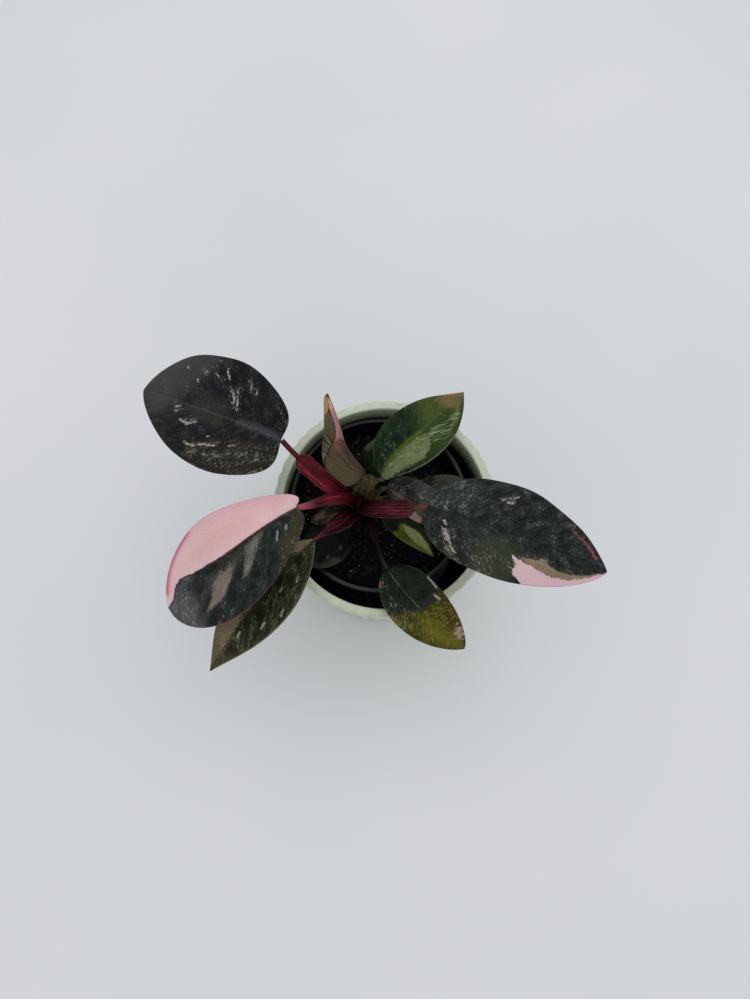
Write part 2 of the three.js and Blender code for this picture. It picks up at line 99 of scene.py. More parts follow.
# Each leaf, as in the frame: its midrib, half widths, fullness, lobes, fold, cup and wave, and
# its stalk's joint on the stem, bends and sheath.
LEAVES = [
    dict(rib=[[-53.5, 23, 162], [-71.5, 28.5, 174.5], [-96.5, 38, 168.5], [-131.3, 57.3, 144]],
         width=[29.6, 30.2], shape=[[0.6, 0.84], [0.62, 0.49]], lobe=[0.04, 0.04], fold=[16, 10],
         cup=-0.1, wave=0.9, waves=2.5,
         joint=112, bends=[[-27.5, 3.5, 135], [-41.5, 10.5, 156]], sheath=[7, 9.8, 0.68, 0.1, 2.8]),
    dict(rib=[[-45.5, -11, 155], [-62.5, -23, 170], [-82, -43.5, 160.5], [-115.3, -58.8, 126]],
         width=[26.5, 23.9], shape=[[0.86, 0.55], [1.05, 0.6]], lobe=[0.05, 0.1], fold=[18, 8],
         cup=-0.12, wave=0.7, waves=2,
         joint=116, bends=[[-22, 3.5, 134], [-33, -8, 150]], sheath=[8, 6.8, 0.5, 0.5, 3]),
    dict(rib=[[-38, -24.5, 137], [-55, -44, 147], [-74, -65, 141], [-93, -91.5, 119]],
         width=[17.5, 14.5], shape=[[1.03, 1.14], [1.06, 1.16]], lobe=[0, 0], fold=[20, 12],
         cup=-0.05, wave=0.8, waves=2.5,
         joint=108, bends=[[-21, -10.5, 122], [-28.5, -16.5, 132]], sheath=[9, 9.8, 0.5, 0.45, 2]),
    dict(rib=[[21.5, -11, 157], [50, -21.5, 170.5], [80.5, -32.5, 165.5], [114, -42, 142]],
         width=[22.5, 25], shape=[[0.57, 0.8], [0.5, 0.79]], lobe=[0.01, 0.01], fold=[18, 8],
         cup=-0.08, wave=0.9, waves=3,
         joint=118, bends=[[-5, -9.5, 140], [9.5, -11, 152]], sheath=[8, 10, 0.72, 0.08, 2.8]),
    dict(rib=[[-0.5, 10.5, 132], [9, 25.5, 144.5], [24.5, 39.5, 142.5], [44.5, 62.5, 127]],
         width=[17, 16.7], shape=[[0.7, 1.02], [1.06, 0.98]], lobe=[0, 0], fold=[22, 14],
         cup=-0.05, wave=0.7, waves=2,
         joint=106, bends=[[-15.5, 10.5, 121], [-6.5, 10.5, 129.5]], sheath=[8, 9.5, 0.6, 0.25, 2.4]),
    dict(rib=[[1.5, -37.5, 118], [11, -54, 126.5], [26, -67.5, 124.5], [43, -79.5, 112]],
         width=[15, 14.5], shape=[[0.48, 0.66], [0.65, 0.88]], lobe=[0, 0], fold=[16, 8],
         cup=-0.05, wave=0.6, waves=2,
         joint=92, bends=[[-6, -6, 104], [-6, -25, 114]], sheath=[6.5, 5, 0.45, 0.15, 2]),
    dict(rib=[[-13.5, 14.5, 117], [-29.5, 33, 124], [-20, 27.5, 143], [-31, 52.5, 151]],
         width=[14.4, 3.4], shape=[[0.27, 0.49], [0.27, 2.2]], lobe=[0, 0], fold=[22, 50],
         cup=0.06, wave=0.7, waves=2,
         joint=104, bends=[[-15.5, 6, 107], [-14, 11, 112]], sheath=[5, 4.5, 0.5, 0.3, 3]),
    dict(rib=[[-0.5, -6, 107], [11.5, -14.5, 108], [19.5, -18.5, 104.5], [28.5, -26.5, 96]],
         width=[7.5, 5], shape=[[1.06, 1.14], [0.59, 0.92]], lobe=[0, 0], fold=[30, 20],
         cup=0, wave=0.4, waves=1.5,
         joint=98, bends=[[-8.5, -1, 106], [-4.5, -4, 108]], sheath=[4.6, 4, 0.4, 0.3, 2.4]),
    dict(rib=[[1, 9, 118], [13.5, 2.5, 123.5], [25, -3, 123.5], [39.5, -5, 118]],
         width=[10, 12], shape=[[0.5, 0.91], [1.1, 0.71]], lobe=[0, 0], fold=[18, 10],
         cup=-0.05, wave=0.5, waves=1.5,
         joint=102, bends=[[-9.5, 5, 112], [-4, 7, 117]], sheath=[6, 6.5, 0.5, 0.3, 2.6]),
    dict(rib=[[6.5, 9.5, 101], [24.5, 7.5, 108.5], [38.5, 8, 109], [51, 5.5, 103]],
         width=[11.5, 11.5], shape=[[0.94, 0.51], [0.94, 0.51]], lobe=[0, 0], fold=[18, 10],
         cup=-0.05, wave=0.5, waves=1.5,
         joint=95, bends=[[-6, 5, 101.5], [0.5, 8, 102]], sheath=[4.4, 3.8, 0.4, 0.3, 2.2]),
    dict(rib=[[-9.5, 17.5, 107], [-3.5, 25, 116], [1, 33.5, 116.5], [7, 46.5, 108]],
         width=[10, 10], shape=[[0.73, 1.05], [0.73, 1.05]], lobe=[0, 0], fold=[18, 10],
         cup=-0.05, wave=0.5, waves=1.5,
         joint=98, bends=[[-13.5, 8.5, 105], [-12, 13, 108]], sheath=[4.6, 4, 0.4, 0.3, 2.2]),
    dict(rib=[[-21.5, -12, 103.5], [-30.5, -19.5, 107.5], [-38.5, -26, 107.5], [-47, -30.5, 103]],
         width=[12.5, 12.5], shape=[[0.56, 0.73], [0.56, 0.73]], lobe=[0, 0], fold=[18, 10],
         cup=-0.05, wave=0.4, waves=1.5,
         joint=93, bends=[[-16.5, -3.5, 101], [-19.5, -8, 103.5]], sheath=[4.6, 4, 0.4, 0.3, 2.2]),
    dict(rib=[[-22.5, -3, 110], [-29, -3.5, 114.5], [-34.5, -8, 114.5], [-42, -8.5, 110]],
         width=[4.5, 4], shape=[[0.6, 0.65], [0.6, 0.65]], lobe=[0.05, 0.05], fold=[26, 20],
         cup=0, wave=0.3, waves=1.5,
         joint=103, bends=[[-18, -1, 109], [-20.5, -2.5, 110.5]], sheath=[4.4, 4, 0.4, 0.3, 2.6]),
]

# ---------------------------------------------------------------- finer forms

SEAM = 0.01
CREASE = 0.8
MARGIN_THINNING = 0.45
GROOVE_DEPTH = 0.28
GROOVE_SPREAD = 0.9
MIDRIB_SPREAD = 1.5
RIDGE_HEIGHT = 0.3
LIP_BEAD = 0.75

# the stem's rings and scars; those in its length are shares of it
JOINT_DROP = 3
SCAR_ABOVE_RING = 0.02
SCAR_LENGTH = 0.004
SCAR_DEPTH = 0.12

# where loose grains lie: how far they stand out of the soil, and how far they keep off the stem
GRAIN_SHARE_OUT = 0.18
GRAIN_LIFT = 0.3
STEM_FOOT = (-14.5, 5)
STEM_CLEARANCE = 7

# ---------------------------------------------------------------- finer values of the finishes

MARK_STEPS = 6
RAGGED_REACH = 4.0
CROWDING = 0.4
SHORT_FLECK = 3.5
FLECK_SLANT = 0.4
FLECK_EDGE = 0.06
VEIN_SWAY = 1.6
# painted shade along the side veins: factors for the vein line and between veins
PAINTED_VEIN_SHADE = (0.74, 1.05)
UNDERSIDE_TINT = 0.55
COAT_SEED = 3.7
FLECK_SEED = 20
NOISE_SPAN = (0.3, 0.7)

# ---------------------------------------------------------------- markings
#
# Places on a blade are (share along the midrib, share from the midrib to the margin), left of
# the midrib below zero. An area is a list of shapes: ("patch", corners) is filled, and
# ("stroke", width in mm, points) is a line. A coat paints its colour over the ones before it:
#   area     which area it fills; none means the whole blade
#   ragged   how far, in mm, the side veins' streaks break up its edge; soft: how wide it fades
#   streak   width and length of those streaks, in mm
#   fleck    (threshold, width, length): only where a streaky noise is over the threshold
#   amount   how much it covers


def coat(colour, area=None, ragged=0.0, streak=(1.4, 9.0), soft=0.35, fleck=None, amount=1.0):
    return dict(colour=colour, area=area, ragged=ragged, streak=streak, soft=soft,
                fleck=fleck, amount=amount)


# Each blade's look: the columns and rows of its mesh; its side veins' spacing and depth in mm, and
# how they slant and bend; the ground's two shades, and the tint underneath; its areas and coats;
# and the colour, width in mm and amount of the midrib and of the margin.
LOW_LEAF = dict(grid=(48, 64), veins=(3.6, 0.10), slant=1.2, bend=0.8)

LOOKS = [
    # 1: charcoal, painted sheen at the tip and in the middle, white dashes along the side veins
    dict(slot="charcoal_leaf", grid=(84, 120), veins=(5.6, 0.16), slant=0.75, bend=0.75,
         ground=("#0d1010", "#1d2020"), under="#4a3a3c",
         areas={
             "dashes": [
                 ("stroke", 1.0, [(0.68, -0.38), (0.63, -0.40), (0.585, -0.28)]),
                 ("stroke", 1.1, [(0.735, -0.10), (0.75, -0.14)]),
                 ("stroke", 1.0, [(0.50, -0.65), (0.46, -0.58), (0.41, -0.55)]),
                 ("stroke", 0.9, [(0.45, -0.76), (0.42, -0.74)]),
                 ("stroke", 0.8, [(0.33, -0.48), (0.30, -0.45)]),
                 ("stroke", 0.8, [(0.48, -0.44), (0.465, -0.42)]),
                 ("stroke", 0.9, [(0.58, -0.72), (0.55, -0.72), (0.52, -0.70)]),
                 ("stroke", 1.0, [(0.46, 0.46), (0.43, 0.38), (0.42, 0.28)]),
                 ("stroke", 0.9, [(0.42, 0.50), (0.40, 0.36), (0.38, 0.20)]),
                 ("stroke", 0.8, [(0.35, 0.68), (0.34, 0.60)]),
                 ("stroke", 0.8, [(0.31, 0.72), (0.30, 0.62)]),
                 ("stroke", 0.8, [(0.55, 0.80), (0.53, 0.72), (0.50, 0.62)]),
                 ("stroke", 0.8, [(0.61, 0.66), (0.58, 0.62)]),
                 ("stroke", 0.8, [(0.705, 0.50), (0.695, 0.46)]),
                 ("stroke", 0.7, [(0.80, 0.75), (0.79, 0.71)]),
             ],
             "specks": [
                 ("patch", [(0.01, 0.3), (0.12, 0.45), (0.2, 1.2), (0.01, 1.2)]),
                 ("patch", [(0.36, 0.2), (0.44, 0.16), (0.5, 0.45), (0.46, 0.64), (0.36, 0.55)]),
                 ("patch", [(0.50, 0.6), (0.6, 0.5), (0.74, 0.55), (0.62, 0.95), (0.5, 0.9)]),
                 ("patch", [(0.3, 0.58), (0.37, 0.52), (0.4, 0.8), (0.32, 0.9)]),
                 ("patch", [(0.62, -0.2), (0.8, -0.02), (0.8, -0.2), (0.6, -0.5), (0.5, -0.4)]),
             ],
             "brown_side": [("patch", [(0.03, -0.35), (0.3, -0.4), (0.56, -0.6), (0.52, -1.2),
                                       (0.02, -1.2)])],
             # painted sheen: the tip and the middle of the blade are hazed paler
             "tip_sheen": [("patch", [(0.62, 1.3), (0.64, 0.7), (0.72, 0.3), (0.78, 0.0), (0.8, -0.4),
                                     (0.9, -0.9), (1.05, -0.9), (1.05, 1.3)])],
             "middle_sheen": [("patch", [(0.42, 0.1), (0.5, 0.3), (0.68, 0.2), (0.7, -0.1), (0.6, -0.3),
                                        (0.45, -0.2)])],
             "rib_base": [("stroke", 3.4, [(0.0, 0.03), (0.12, 0.04), (0.34, 0.0)])],
             "pink_rim": [
                 ("stroke", 0.8, [(0.42, 1.0), (0.50, 1.0)]),
                 ("stroke", 0.8, [(0.45, -1.0), (0.50, -1.0)]),
             ],
         },
         coats=[
             # painted sheen: a pale haze over the tip, then over the middle
             coat("#4a4c4a", "tip_sheen", soft=14, ragged=1.5, amount=0.6),
             coat("#33362e", "middle_sheen", soft=10, ragged=1, amount=0.7),
             coat("#514d55", "rib_base", soft=4, ragged=1, amount=0.7),
             coat("#2b261b", "brown_side", soft=8, ragged=1, amount=0.7),
             coat("#55564f", fleck=(0.62, 0.9, 1.5), amount=0.35),
             coat("#7a766a", "brown_side", fleck=(0.57, 0.8, 1.3), soft=5, amount=0.8),
             coat("#83888a", "specks", fleck=(0.59, 0.8, 1.5), soft=3, amount=0.8),
             coat("#8e8e88", fleck=(0.68, 0.8, 1.2), amount=0.8),
             coat("#a9a8a1", "dashes", ragged=0.6, soft=0.6, streak=(0.8, 1.6), fleck=(0.38, 1.0, 1.4),
                  amount=0.9),
             coat("#7c4c54", "pink_rim", soft=0.7, amount=0.6),
         ],
         rib=("#46494a", 0.9, 0.4), margin=("#2c2a2b", 0.4, 0.5)),
    # 2: one half pink, the other charcoal with smeared beige patches
    dict(slot="charcoal_leaf", grid=(84, 120), veins=(5.2, 0.14), slant=0.8, bend=0.75,
         ground=("#161a19", "#292f2d"), under="#6a4a50",
         areas={
             "pink": [("patch", [(0, 0.02), (0.1, 0.0), (0.2, 0.03), (0.3, 0.05), (0.4, 0.07),
                                 (0.5, 0.09), (0.6, 0.12), (0.68, 0.18), (0.77, 0.25), (0.82, 0.36),
                                 (0.86, 0.44), (0.89, 0.45), (0.92, 0.38), (0.96, 0.16), (1, 0.06),
                                 (1.03, 0.6), (0.98, 1.4), (-0.02, 1.4), (-0.02, 0.3)])],
             "pink_margin": [("stroke", 12.0, [(0.15, 1.1), (0.5, 1.1), (0.76, 1.15)])],
             "pink_tip": [("stroke", 3.6, [(0.68, 1.02), (0.8, 1.0), (0.93, 0.98), (0.97, 0.85)])],
             "peach": [("patch", [(0.3, 0.3), (0.7, 0.35), (0.75, 0.6), (0.5, 0.75), (0.3, 0.6)])],
             "beige": [("patch", [(0.31, -0.04), (0.36, -0.2), (0.44, -0.38), (0.52, -0.54), (0.55, -0.5),
                                  (0.5, -0.3), (0.45, -0.16), (0.44, -0.07), (0.38, -0.04)])],
             "taupe": [("patch", [(0.56, -0.16), (0.62, -0.38), (0.68, -0.53), (0.75, -0.6), (0.79, -0.62),
                                  (0.74, -0.4), (0.7, -0.22), (0.64, -0.13)])],
             "olive_band": [("patch", [(0.3, -0.04), (0.7, -0.08), (0.8, -0.3), (0.72, -0.3), (0.5, -0.2)])],
             "brown_base": [("patch", [(-0.02, -0.3), (0.1, -0.42), (0.32, -0.66), (0.36, -1.2),
                                       (-0.02, -1.2)])],
             "streaks": [
                 ("stroke", 0.9, [(0.235, -0.34), (0.275, -0.5)]),
                 ("stroke", 0.8, [(0.17, -0.42), (0.19, -0.5)]),
             ],
             # painted sheen near the tip
             "tip_sheen": [("patch", [(0.8, 0.3), (0.86, 0.1), (0.84, -0.4), (0.87, -1.2), (1.05, -1.2),
                                     (1.05, 0.4)])],
             "rib_red": [("stroke", 0.9, [(0, 0.0), (0.3, 0.04), (0.6, 0.1), (0.68, 0.16)])],
             "rim_red": [("stroke", 0.8, [(0.3, -1.0), (0.5, -1.0), (0.7, -1.0), (0.9, -1.0)])],
         },
         coats=[
             # painted sheen: a pale haze near the tip, with pale flecks in it
             coat("#5c5c5d", "tip_sheen", soft=10, ragged=1.5, amount=0.75),
             coat("#8f8d8a", "tip_sheen", fleck=(0.57, 0.9, 1.3), soft=6, amount=0.7),
             coat("#36341f", "brown_base", soft=5, ragged=1.5, amount=0.75),
             coat("#988f6c", "brown_base", fleck=(0.61, 0.9, 1.8), soft=4, amount=0.5),
             coat("#45463a", "olive_band", soft=5, ragged=2, amount=0.7),
             coat("#77786a", "olive_band", fleck=(0.58, 0.9, 5), soft=3, amount=0.6),
             coat("#5b5e55", fleck=(0.61, 0.8, 1.5), amount=0.4),
             coat("#86867c", fleck=(0.68, 0.9, 1.8), amount=0.6),
             coat("#66675d", "beige", ragged=1.6, soft=2.4, streak=(1.1, 7), amount=0.85),
             coat("#8c8c80", "beige", fleck=(0.56, 1.1, 5), soft=1.5, amount=0.6),
             coat("#7e7066", "taupe", ragged=1.6, soft=2.0, streak=(1.1, 7), amount=0.9),
             coat("#a38c84", "taupe", fleck=(0.56, 1.1, 5), soft=1.5, amount=0.6),
             coat("#98988a", "streaks", soft=0.6, ragged=0.5, amount=0.7),
             coat("#5c343c", "rim_red", soft=0.7, amount=0.6),
             coat("#5c2c36", "pink", ragged=0.4, soft=0.5, streak=(1.6, 4)),
             coat("#e6c0c2", "pink", ragged=0.4, soft=0.4, streak=(1.6, 4)),
             coat("#e2b0ac", "peach", soft=10, amount=0.7),
             coat("#dc9caa", "pink_margin", soft=9, amount=0.55),
             coat("#c8406c", "pink_tip", soft=3.4, amount=0.8),
             coat("#5c2c38", "rib_red", soft=0.6, ragged=0.3, amount=0.8),
         ],
         rib=("#3a3236", 0.7, 0.3), margin=("#5a4a4c", 0.4, 0.3)),
    # 3: moss green, speckled, with a beige wedge under its neighbour
    dict(slot="moss_leaf", grid=(64, 100), veins=(4.6, 0.12), slant=1.9, bend=1.2,
         ground=("#191e13", "#2a311f"), under="#5a5240",
         areas={
             "beige": [("patch", [(-0.02, 0.0), (0.08, 0.05), (0.2, 0.42), (0.36, 0.3), (0.56, 0.09),
                                  (0.65, 0.12), (0.75, 0.0), (0.83, -0.07), (0.9, -0.12), (1.02, 0.0),
                                  (1.02, 1.4), (-0.02, 1.4)])],
             "streaks": [
                 ("stroke", 0.9, [(0.28, -0.64), (0.25, -0.58)]),
                 ("stroke", 0.9, [(0.49, -0.84), (0.45, -0.76)]),
                 ("stroke", 0.8, [(0.39, -0.36), (0.36, -0.30)]),
                 ("stroke", 0.8, [(0.75, -0.24), (0.72, -0.18)]),
                 ("stroke", 0.7, [(0.62, -0.66), (0.58, -0.6)]),
             ],
             "edge": [("stroke", 1.4, [(0.05, -1.0), (0.4, -1.0), (0.75, -1.0), (1, -1.0)])],
             "tip": [("patch", [(0.8, -1.2), (0.88, 0), (0.8, 1.2), (1.05, 1.2), (1.05, -1.2)])],
         },
         coats=[
             coat("#0e120a", fleck=(0.56, 1.5, 3), amount=0.55),
             coat("#4a4e33", fleck=(0.55, 0.9, 1.6), amount=0.6),
             coat("#6f6f50", fleck=(0.6, 0.8, 1.3), amount=0.75),
             coat("#a3a184", fleck=(0.66, 0.8, 1.3), amount=0.8),
             coat("#75674e", "beige", ragged=1.6, soft=1.2, streak=(1.1, 5), amount=0.95),
             coat("#2f2c1e", "beige", fleck=(0.58, 1.3, 5), soft=0.8, amount=0.3),
             coat("#9a857c", "beige", fleck=(0.54, 1.1, 5), soft=1.0, amount=0.6),
             coat("#47452c", "beige", fleck=(0.58, 1.0, 2), soft=1.0, amount=0.7),
             coat("#46422c", "tip", soft=6, ragged=1, amount=0.6),
             coat("#b4b09a", "streaks", soft=0.6, ragged=0.5, fleck=(0.36, 0.9, 1.6), amount=0.9),
             coat("#6e6754", "edge", soft=1.0, ragged=0.4, amount=0.55),
         ],
         rib=("#2c2c1c", 0.8, 0.6), margin=("#5a5444", 0.4, 0.4)),
    # 4: charcoal; a painted bluish sheen with pale flecks and white marks at the base; pink and tan lower
    #    margin
    dict(slot="charcoal_leaf", grid=(84, 120), veins=(5.2, 0.15), slant=0.8, bend=0.75,
         ground=("#151917", "#2a302c"), under="#4c3c3c",
         areas={
             "pink": [("patch", [(0.48, 0.44), (0.52, 0.50), (0.58, 0.56), (0.65, 0.67), (0.70, 0.75),
                                 (0.80, 0.81), (0.90, 0.74), (0.965, 0.6), (1.02, 0.5), (1.02, 1.4),
                                 (0.56, 1.4), (0.56, 0.97), (0.52, 0.87), (0.505, 0.78), (0.515, 0.63),
                                 (0.50, 0.54)])],
             "tan": [("patch", [(0.52, 0.45), (0.58, 0.43), (0.62, 0.41), (0.63, 0.33), (0.655, 0.35),
                                (0.67, 0.46), (0.72, 0.56), (0.79, 0.62), (0.87, 0.63), (0.96, 0.52),
                                (0.965, 0.6), (0.90, 0.74), (0.80, 0.81), (0.70, 0.75), (0.65, 0.67),
                                (0.58, 0.56)])],
             "red_marks": [
                 ("stroke", 0.9, [(0.75, -0.76), (0.79, -0.72)]),
                 ("stroke", 1.3, [(0.80, -0.72), (0.85, -0.70), (0.89, -0.64)]),
                 ("stroke", 1.1, [(0.895, -0.60), (0.92, -0.52)]),
             ],
             "brown_margin": [("patch", [(0.66, -0.9), (0.78, -0.86), (0.9, -0.74), (0.96, -1.3),
                                         (0.64, -1.3)])],
             "white_base": [("patch", [(0.115, 0.48), (0.14, 0.46), (0.175, 0.6), (0.19, 0.72),
                                       (0.155, 0.7)])],
             "white_lines": [
                 ("stroke", 0.8, [(0.13, 0.34), (0.11, 0.26)]),
                 ("stroke", 0.8, [(0.22, 0.84), (0.19, 0.76)]),
                 ("stroke", 0.8, [(0.43, -0.76), (0.39, -0.66), (0.36, -0.6)]),
                 ("stroke", 0.8, [(0.42, -0.64), (0.39, -0.56)]),
             ],
             # painted sheen at the base of the blade
             "sheen_base": [("patch", [(0.02, -0.1), (0.2, -0.1), (0.25, -0.3), (0.22, -0.7), (0.12, -1.1),
                                       (0, -1.1)])],
             "beige_edge": [("patch", [(0.14, 0.5), (0.3, 0.45), (0.52, 0.62), (0.5, 1.2), (0.1, 1.2)])],
             "olive": [("patch", [(0.3, 0.25), (0.5, 0.2), (0.53, 0.6), (0.5, 1.2), (0.3, 1.2)])],
         },
         coats=[
             coat("#333a2a", "olive", soft=8, ragged=1, amount=0.85),
             # painted sheen: a bluish haze over the base
             coat("#343a3a", "sheen_base", soft=8, ragged=1, amount=0.55),
             coat("#2c261c", "brown_margin", soft=3, ragged=1, amount=0.6),
             coat("#0c0f0e", fleck=(0.56, 1.6, 6), amount=0.35),
             coat("#474c45", fleck=(0.57, 0.9, 1.4), amount=0.5),
             # painted sheen: pale bluish flecks over the base
             coat("#707a7b", "sheen_base", fleck=(0.57, 0.8, 1.4), soft=6, amount=0.65),
             coat("#8a8468", "beige_edge", fleck=(0.59, 0.9, 1.7), soft=4, amount=0.75),
             coat("#77796f", fleck=(0.63, 0.8, 1.3), amount=0.55),
             coat("#a8a89d", fleck=(0.69, 0.8, 1.3), amount=0.7),
             coat("#84735f", "tan", ragged=0.5, soft=1.0, streak=(1.0, 5), amount=0.95),
             coat("#a5917c", "tan", fleck=(0.55, 1.1, 4), soft=0.8, amount=0.5),
             coat("#d8b4ba", "pink", ragged=0.6, soft=0.6, streak=(1.0, 4)),
             coat("#8c5058", "red_marks", soft=0.9, ragged=0.5, streak=(0.9, 2), fleck=(0.36, 1.0, 1.6),
                  amount=0.85),
             coat("#a39b97", "white_base", soft=0.7, ragged=0.9, streak=(0.9, 2), amount=0.8),
             coat("#b2b0a6", "white_lines", soft=0.6, ragged=0.6, fleck=(0.36, 0.9, 1.4), amount=0.85),
         ],
         rib=("#171b1a", 1.0, 0.6), margin=("#3c3a38", 0.4, 0.4)),
    # 5: green, cream in the lower half, dry at the tip
    dict(slot="green_leaf", grid=(72, 96), veins=(4.6, 0.12), slant=1.1, bend=0.8,
         ground=("#08190b", "#142d17"), under="#4c5a40",
         areas={
             "tip_green": [("patch", [(0.66, -1.2), (0.6, -0.3), (0.5, 0.1), (0.46, 1.2), (1.05, 1.2),
                                      (1.05, -1.2)])],
             "right_green": [("patch", [(0.4, 0.1), (0.62, 0.0), (0.95, 0.1), (0.95, 1.2), (0.1, 1.2),
                                        (0.3, 0.8)])],
             "lime_side": [("stroke", 2.0, [(0.0, -0.3), (0.1, -0.24), (0.2, -0.18), (0.32, -0.12),
                                            (0.42, -0.08), (0.52, -0.02)])],
             "cream": [("patch", [(-0.02, -0.4), (0.1, -0.14), (0.2, -0.1), (0.3, -0.06), (0.4, 0.0),
                                  (0.47, 0.06), (0.54, 0.22), (0.52, 0.36), (0.50, 0.5), (0.44, 0.66),
                                  (0.36, 0.76), (0.26, 0.72), (0.18, 0.64), (0.1, 0.66), (-0.02, 0.9)])],
             "cream_streaks": [("patch", [(0.5, 0.2), (0.62, 0.2), (0.74, 0.45), (0.88, 0.5), (0.84, 0.8),
                                          (0.62, 0.8), (0.52, 0.6)])],
             "brown_tip": [("patch", [(0.82, -0.9), (0.8, -0.3), (0.86, 0.6), (1.05, 0.7), (1.05, -1.2)])],
             "dry": [("patch", [(0.82, -1.3), (0.85, -0.9), (0.92, -0.66), (1.0, -0.4), (1.03, -1.3)])],
             "pale_edge": [("stroke", 1.0, [(0.1, 1.0), (0.3, 1.0), (0.5, 1.0), (0.68, 1.0)])],
             # painted sheen near the base
             "silver_sheen": [("patch", [(0.06, -0.9), (0.14, -0.5), (0.3, -0.3), (0.32, -0.5), (0.2, -0.9)])],
         },
         coats=[
             coat("#4c5a28", "tip_green", soft=12, ragged=1, amount=0.9),
             coat("#26390f", "right_green", soft=5, ragged=1.5, amount=0.75),
             coat("#0b190c", fleck=(0.56, 1.6, 6), amount=0.4),
             coat("#2f4a22", fleck=(0.56, 1.2, 4), amount=0.4),
             # painted sheen: silvery flecks near the base
             coat("#74867c", "silver_sheen", fleck=(0.6, 0.9, 1.8), soft=3, amount=0.6),
             coat("#78886e", fleck=(0.66, 0.9, 1.5), amount=0.6),
             coat("#566a20", "lime_side", soft=2.6, ragged=0.7, amount=0.75),
             coat("#8c956f", "cream_streaks", fleck=(0.51, 1.5, 4.5), soft=2.5, amount=0.85),
             coat("#6f7a52", "cream", ragged=1.1, soft=1.0, streak=(1.2, 5), amount=0.95),
             coat("#3d512c", "cream", fleck=(0.54, 1.2, 4), soft=1.0, amount=0.6),
             coat("#979c7c", "cream", fleck=(0.57, 1.0, 2.6), soft=1.5, amount=0.7),
             coat("#766440", "brown_tip", soft=5, ragged=1, amount=0.8),
             coat("#857a4a", "brown_tip", fleck=(0.58, 0.9, 1.6), soft=3, amount=0.7),
             coat("#94735c", "dry", soft=1.6, ragged=0.8, amount=0.9),
             coat("#7a7e70", "pale_edge", soft=0.8, ragged=0.4, amount=0.6),
         ],
         rib=("#4f6030", 0.5, 0.35), margin=("#5a6450", 0.4, 0.4)),
    # 6: dark green, turning olive yellow from the middle to the tip
    dict(slot="olive_leaf", grid=(72, 96), veins=(4.4, 0.12), slant=1.0, bend=0.8,
         ground=("#0b150b", "#18261a"), under="#66623a",
         areas={
             "olive": [("patch", [(0.36, 1.3), (0.36, 1.0), (0.42, 0.5), (0.50, 0.0), (0.51, -0.25),
                                  (0.53, -0.5), (0.51, -0.75), (0.45, -1.0), (0.44, -1.3), (1.05, -1.3),
                                  (1.05, 1.3)])],
             "yellow": [("patch", [(0.56, 0.3), (0.7, 0.75), (0.9, 0.8), (1.05, 0.6), (1.05, -0.3),
                                   (0.7, -0.2), (0.58, -0.05)])],
             # painted sheen across the middle of the blade
             "sheen_zone": [("stroke", 4.0, [(0.38, 0.9), (0.44, 0.4), (0.47, 0.0), (0.49, -0.4),
                                              (0.48, -0.7)])],
             "orange_edge": [("stroke", 2.6, [(0.37, 0.96), (0.44, 0.93)])],
             "brown_edge": [("patch", [(0.6, -0.8), (0.72, -0.6), (0.84, -0.5), (0.95, -0.5),
                                       (0.95, -1.3), (0.58, -1.3)])],
             "dry": [("patch", [(0.8, -0.85), (0.82, -0.4), (0.88, -0.22), (0.95, -0.4), (0.93, -1.0)])],
             "white_lines": [
                 ("stroke", 0.9, [(0.31, -0.97), (0.36, -0.94), (0.44, -0.92)]),
                 ("stroke", 1.2, [(0.48, -0.70), (0.51, -0.71), (0.545, -0.74)]),
             ],
             "rib_light": [("stroke", 0.5, [(0.03, 0.0), (0.2, 0.0), (0.48, -0.02)])],
             "pink_spot": [("stroke", 2.0, [(0.09, 0.93), (0.11, 0.93)])],
             "left_specks": [("patch", [(0.04, 0.5), (0.3, 0.5), (0.5, 0.2), (0.52, 1.2), (0, 1.2)])],
         },
         coats=[
             coat("#223026", fleck=(0.54, 1.4, 6), amount=0.5),
             # painted sheen: a bluish-grey band across the middle of the blade
             coat("#2d2f33", "sheen_zone", soft=4, ragged=1, amount=0.6),
             coat("#38390f", "olive", soft=6, ragged=2.0, streak=(1.6, 5), amount=0.95),
             coat("#6a6616", "yellow", soft=7, ragged=1, amount=0.75),
             coat("#6a661f", "olive", fleck=(0.50, 1.1, 2.4), soft=3.0, amount=0.7),
             coat("#45300f", "olive", fleck=(0.58, 1.3, 3), soft=3.0, amount=0.55),
             coat("#a19c48", "olive", fleck=(0.62, 0.9, 1.4), soft=3, amount=0.6),
             coat("#4c3212", "brown_edge", soft=3, ragged=1, amount=0.75),
             coat("#a08a56", "brown_edge", fleck=(0.57, 0.9, 1.6), soft=2, amount=0.8),
             coat("#8f978f", "left_specks", fleck=(0.59, 0.8, 1.2), soft=3, amount=0.7),
             coat("#7a5c2c", "orange_edge", soft=2.0, ragged=0.5, amount=0.75),
             coat("#a3947c", "dry", soft=1.6, ragged=1.2, fleck=(0.42, 1.4, 3), amount=0.85),
             coat("#6c7a68", "rib_light", soft=0.9, ragged=0.3, fleck=(0.44, 1, 4), amount=0.75),
             coat("#a8a89c", "white_lines", soft=0.6, ragged=0.5, fleck=(0.36, 0.9, 1.4), amount=0.9),
             coat("#7c4a44", "pink_spot", soft=1.4, amount=0.7),
         ],
         rib=("#4a4c2c", 0.45, 0.3), margin=("#5a5430", 0.4, 0.4)),
    # 7: folded over, its lower part mauve brown, the upper a pink strip with a dry tip
    dict(slot="taupe_leaf", grid=(64, 90), veins=(4.0, 0.10), slant=1.4, bend=0.8,
         ground=("#33291f", "#52453a"), under="#7a6458",
         areas={
             "fold": [("patch", [(0.58, -0.41), (0.47, -0.87), (0.38, -0.99), (0.14, -1.3), (0, -1.3),
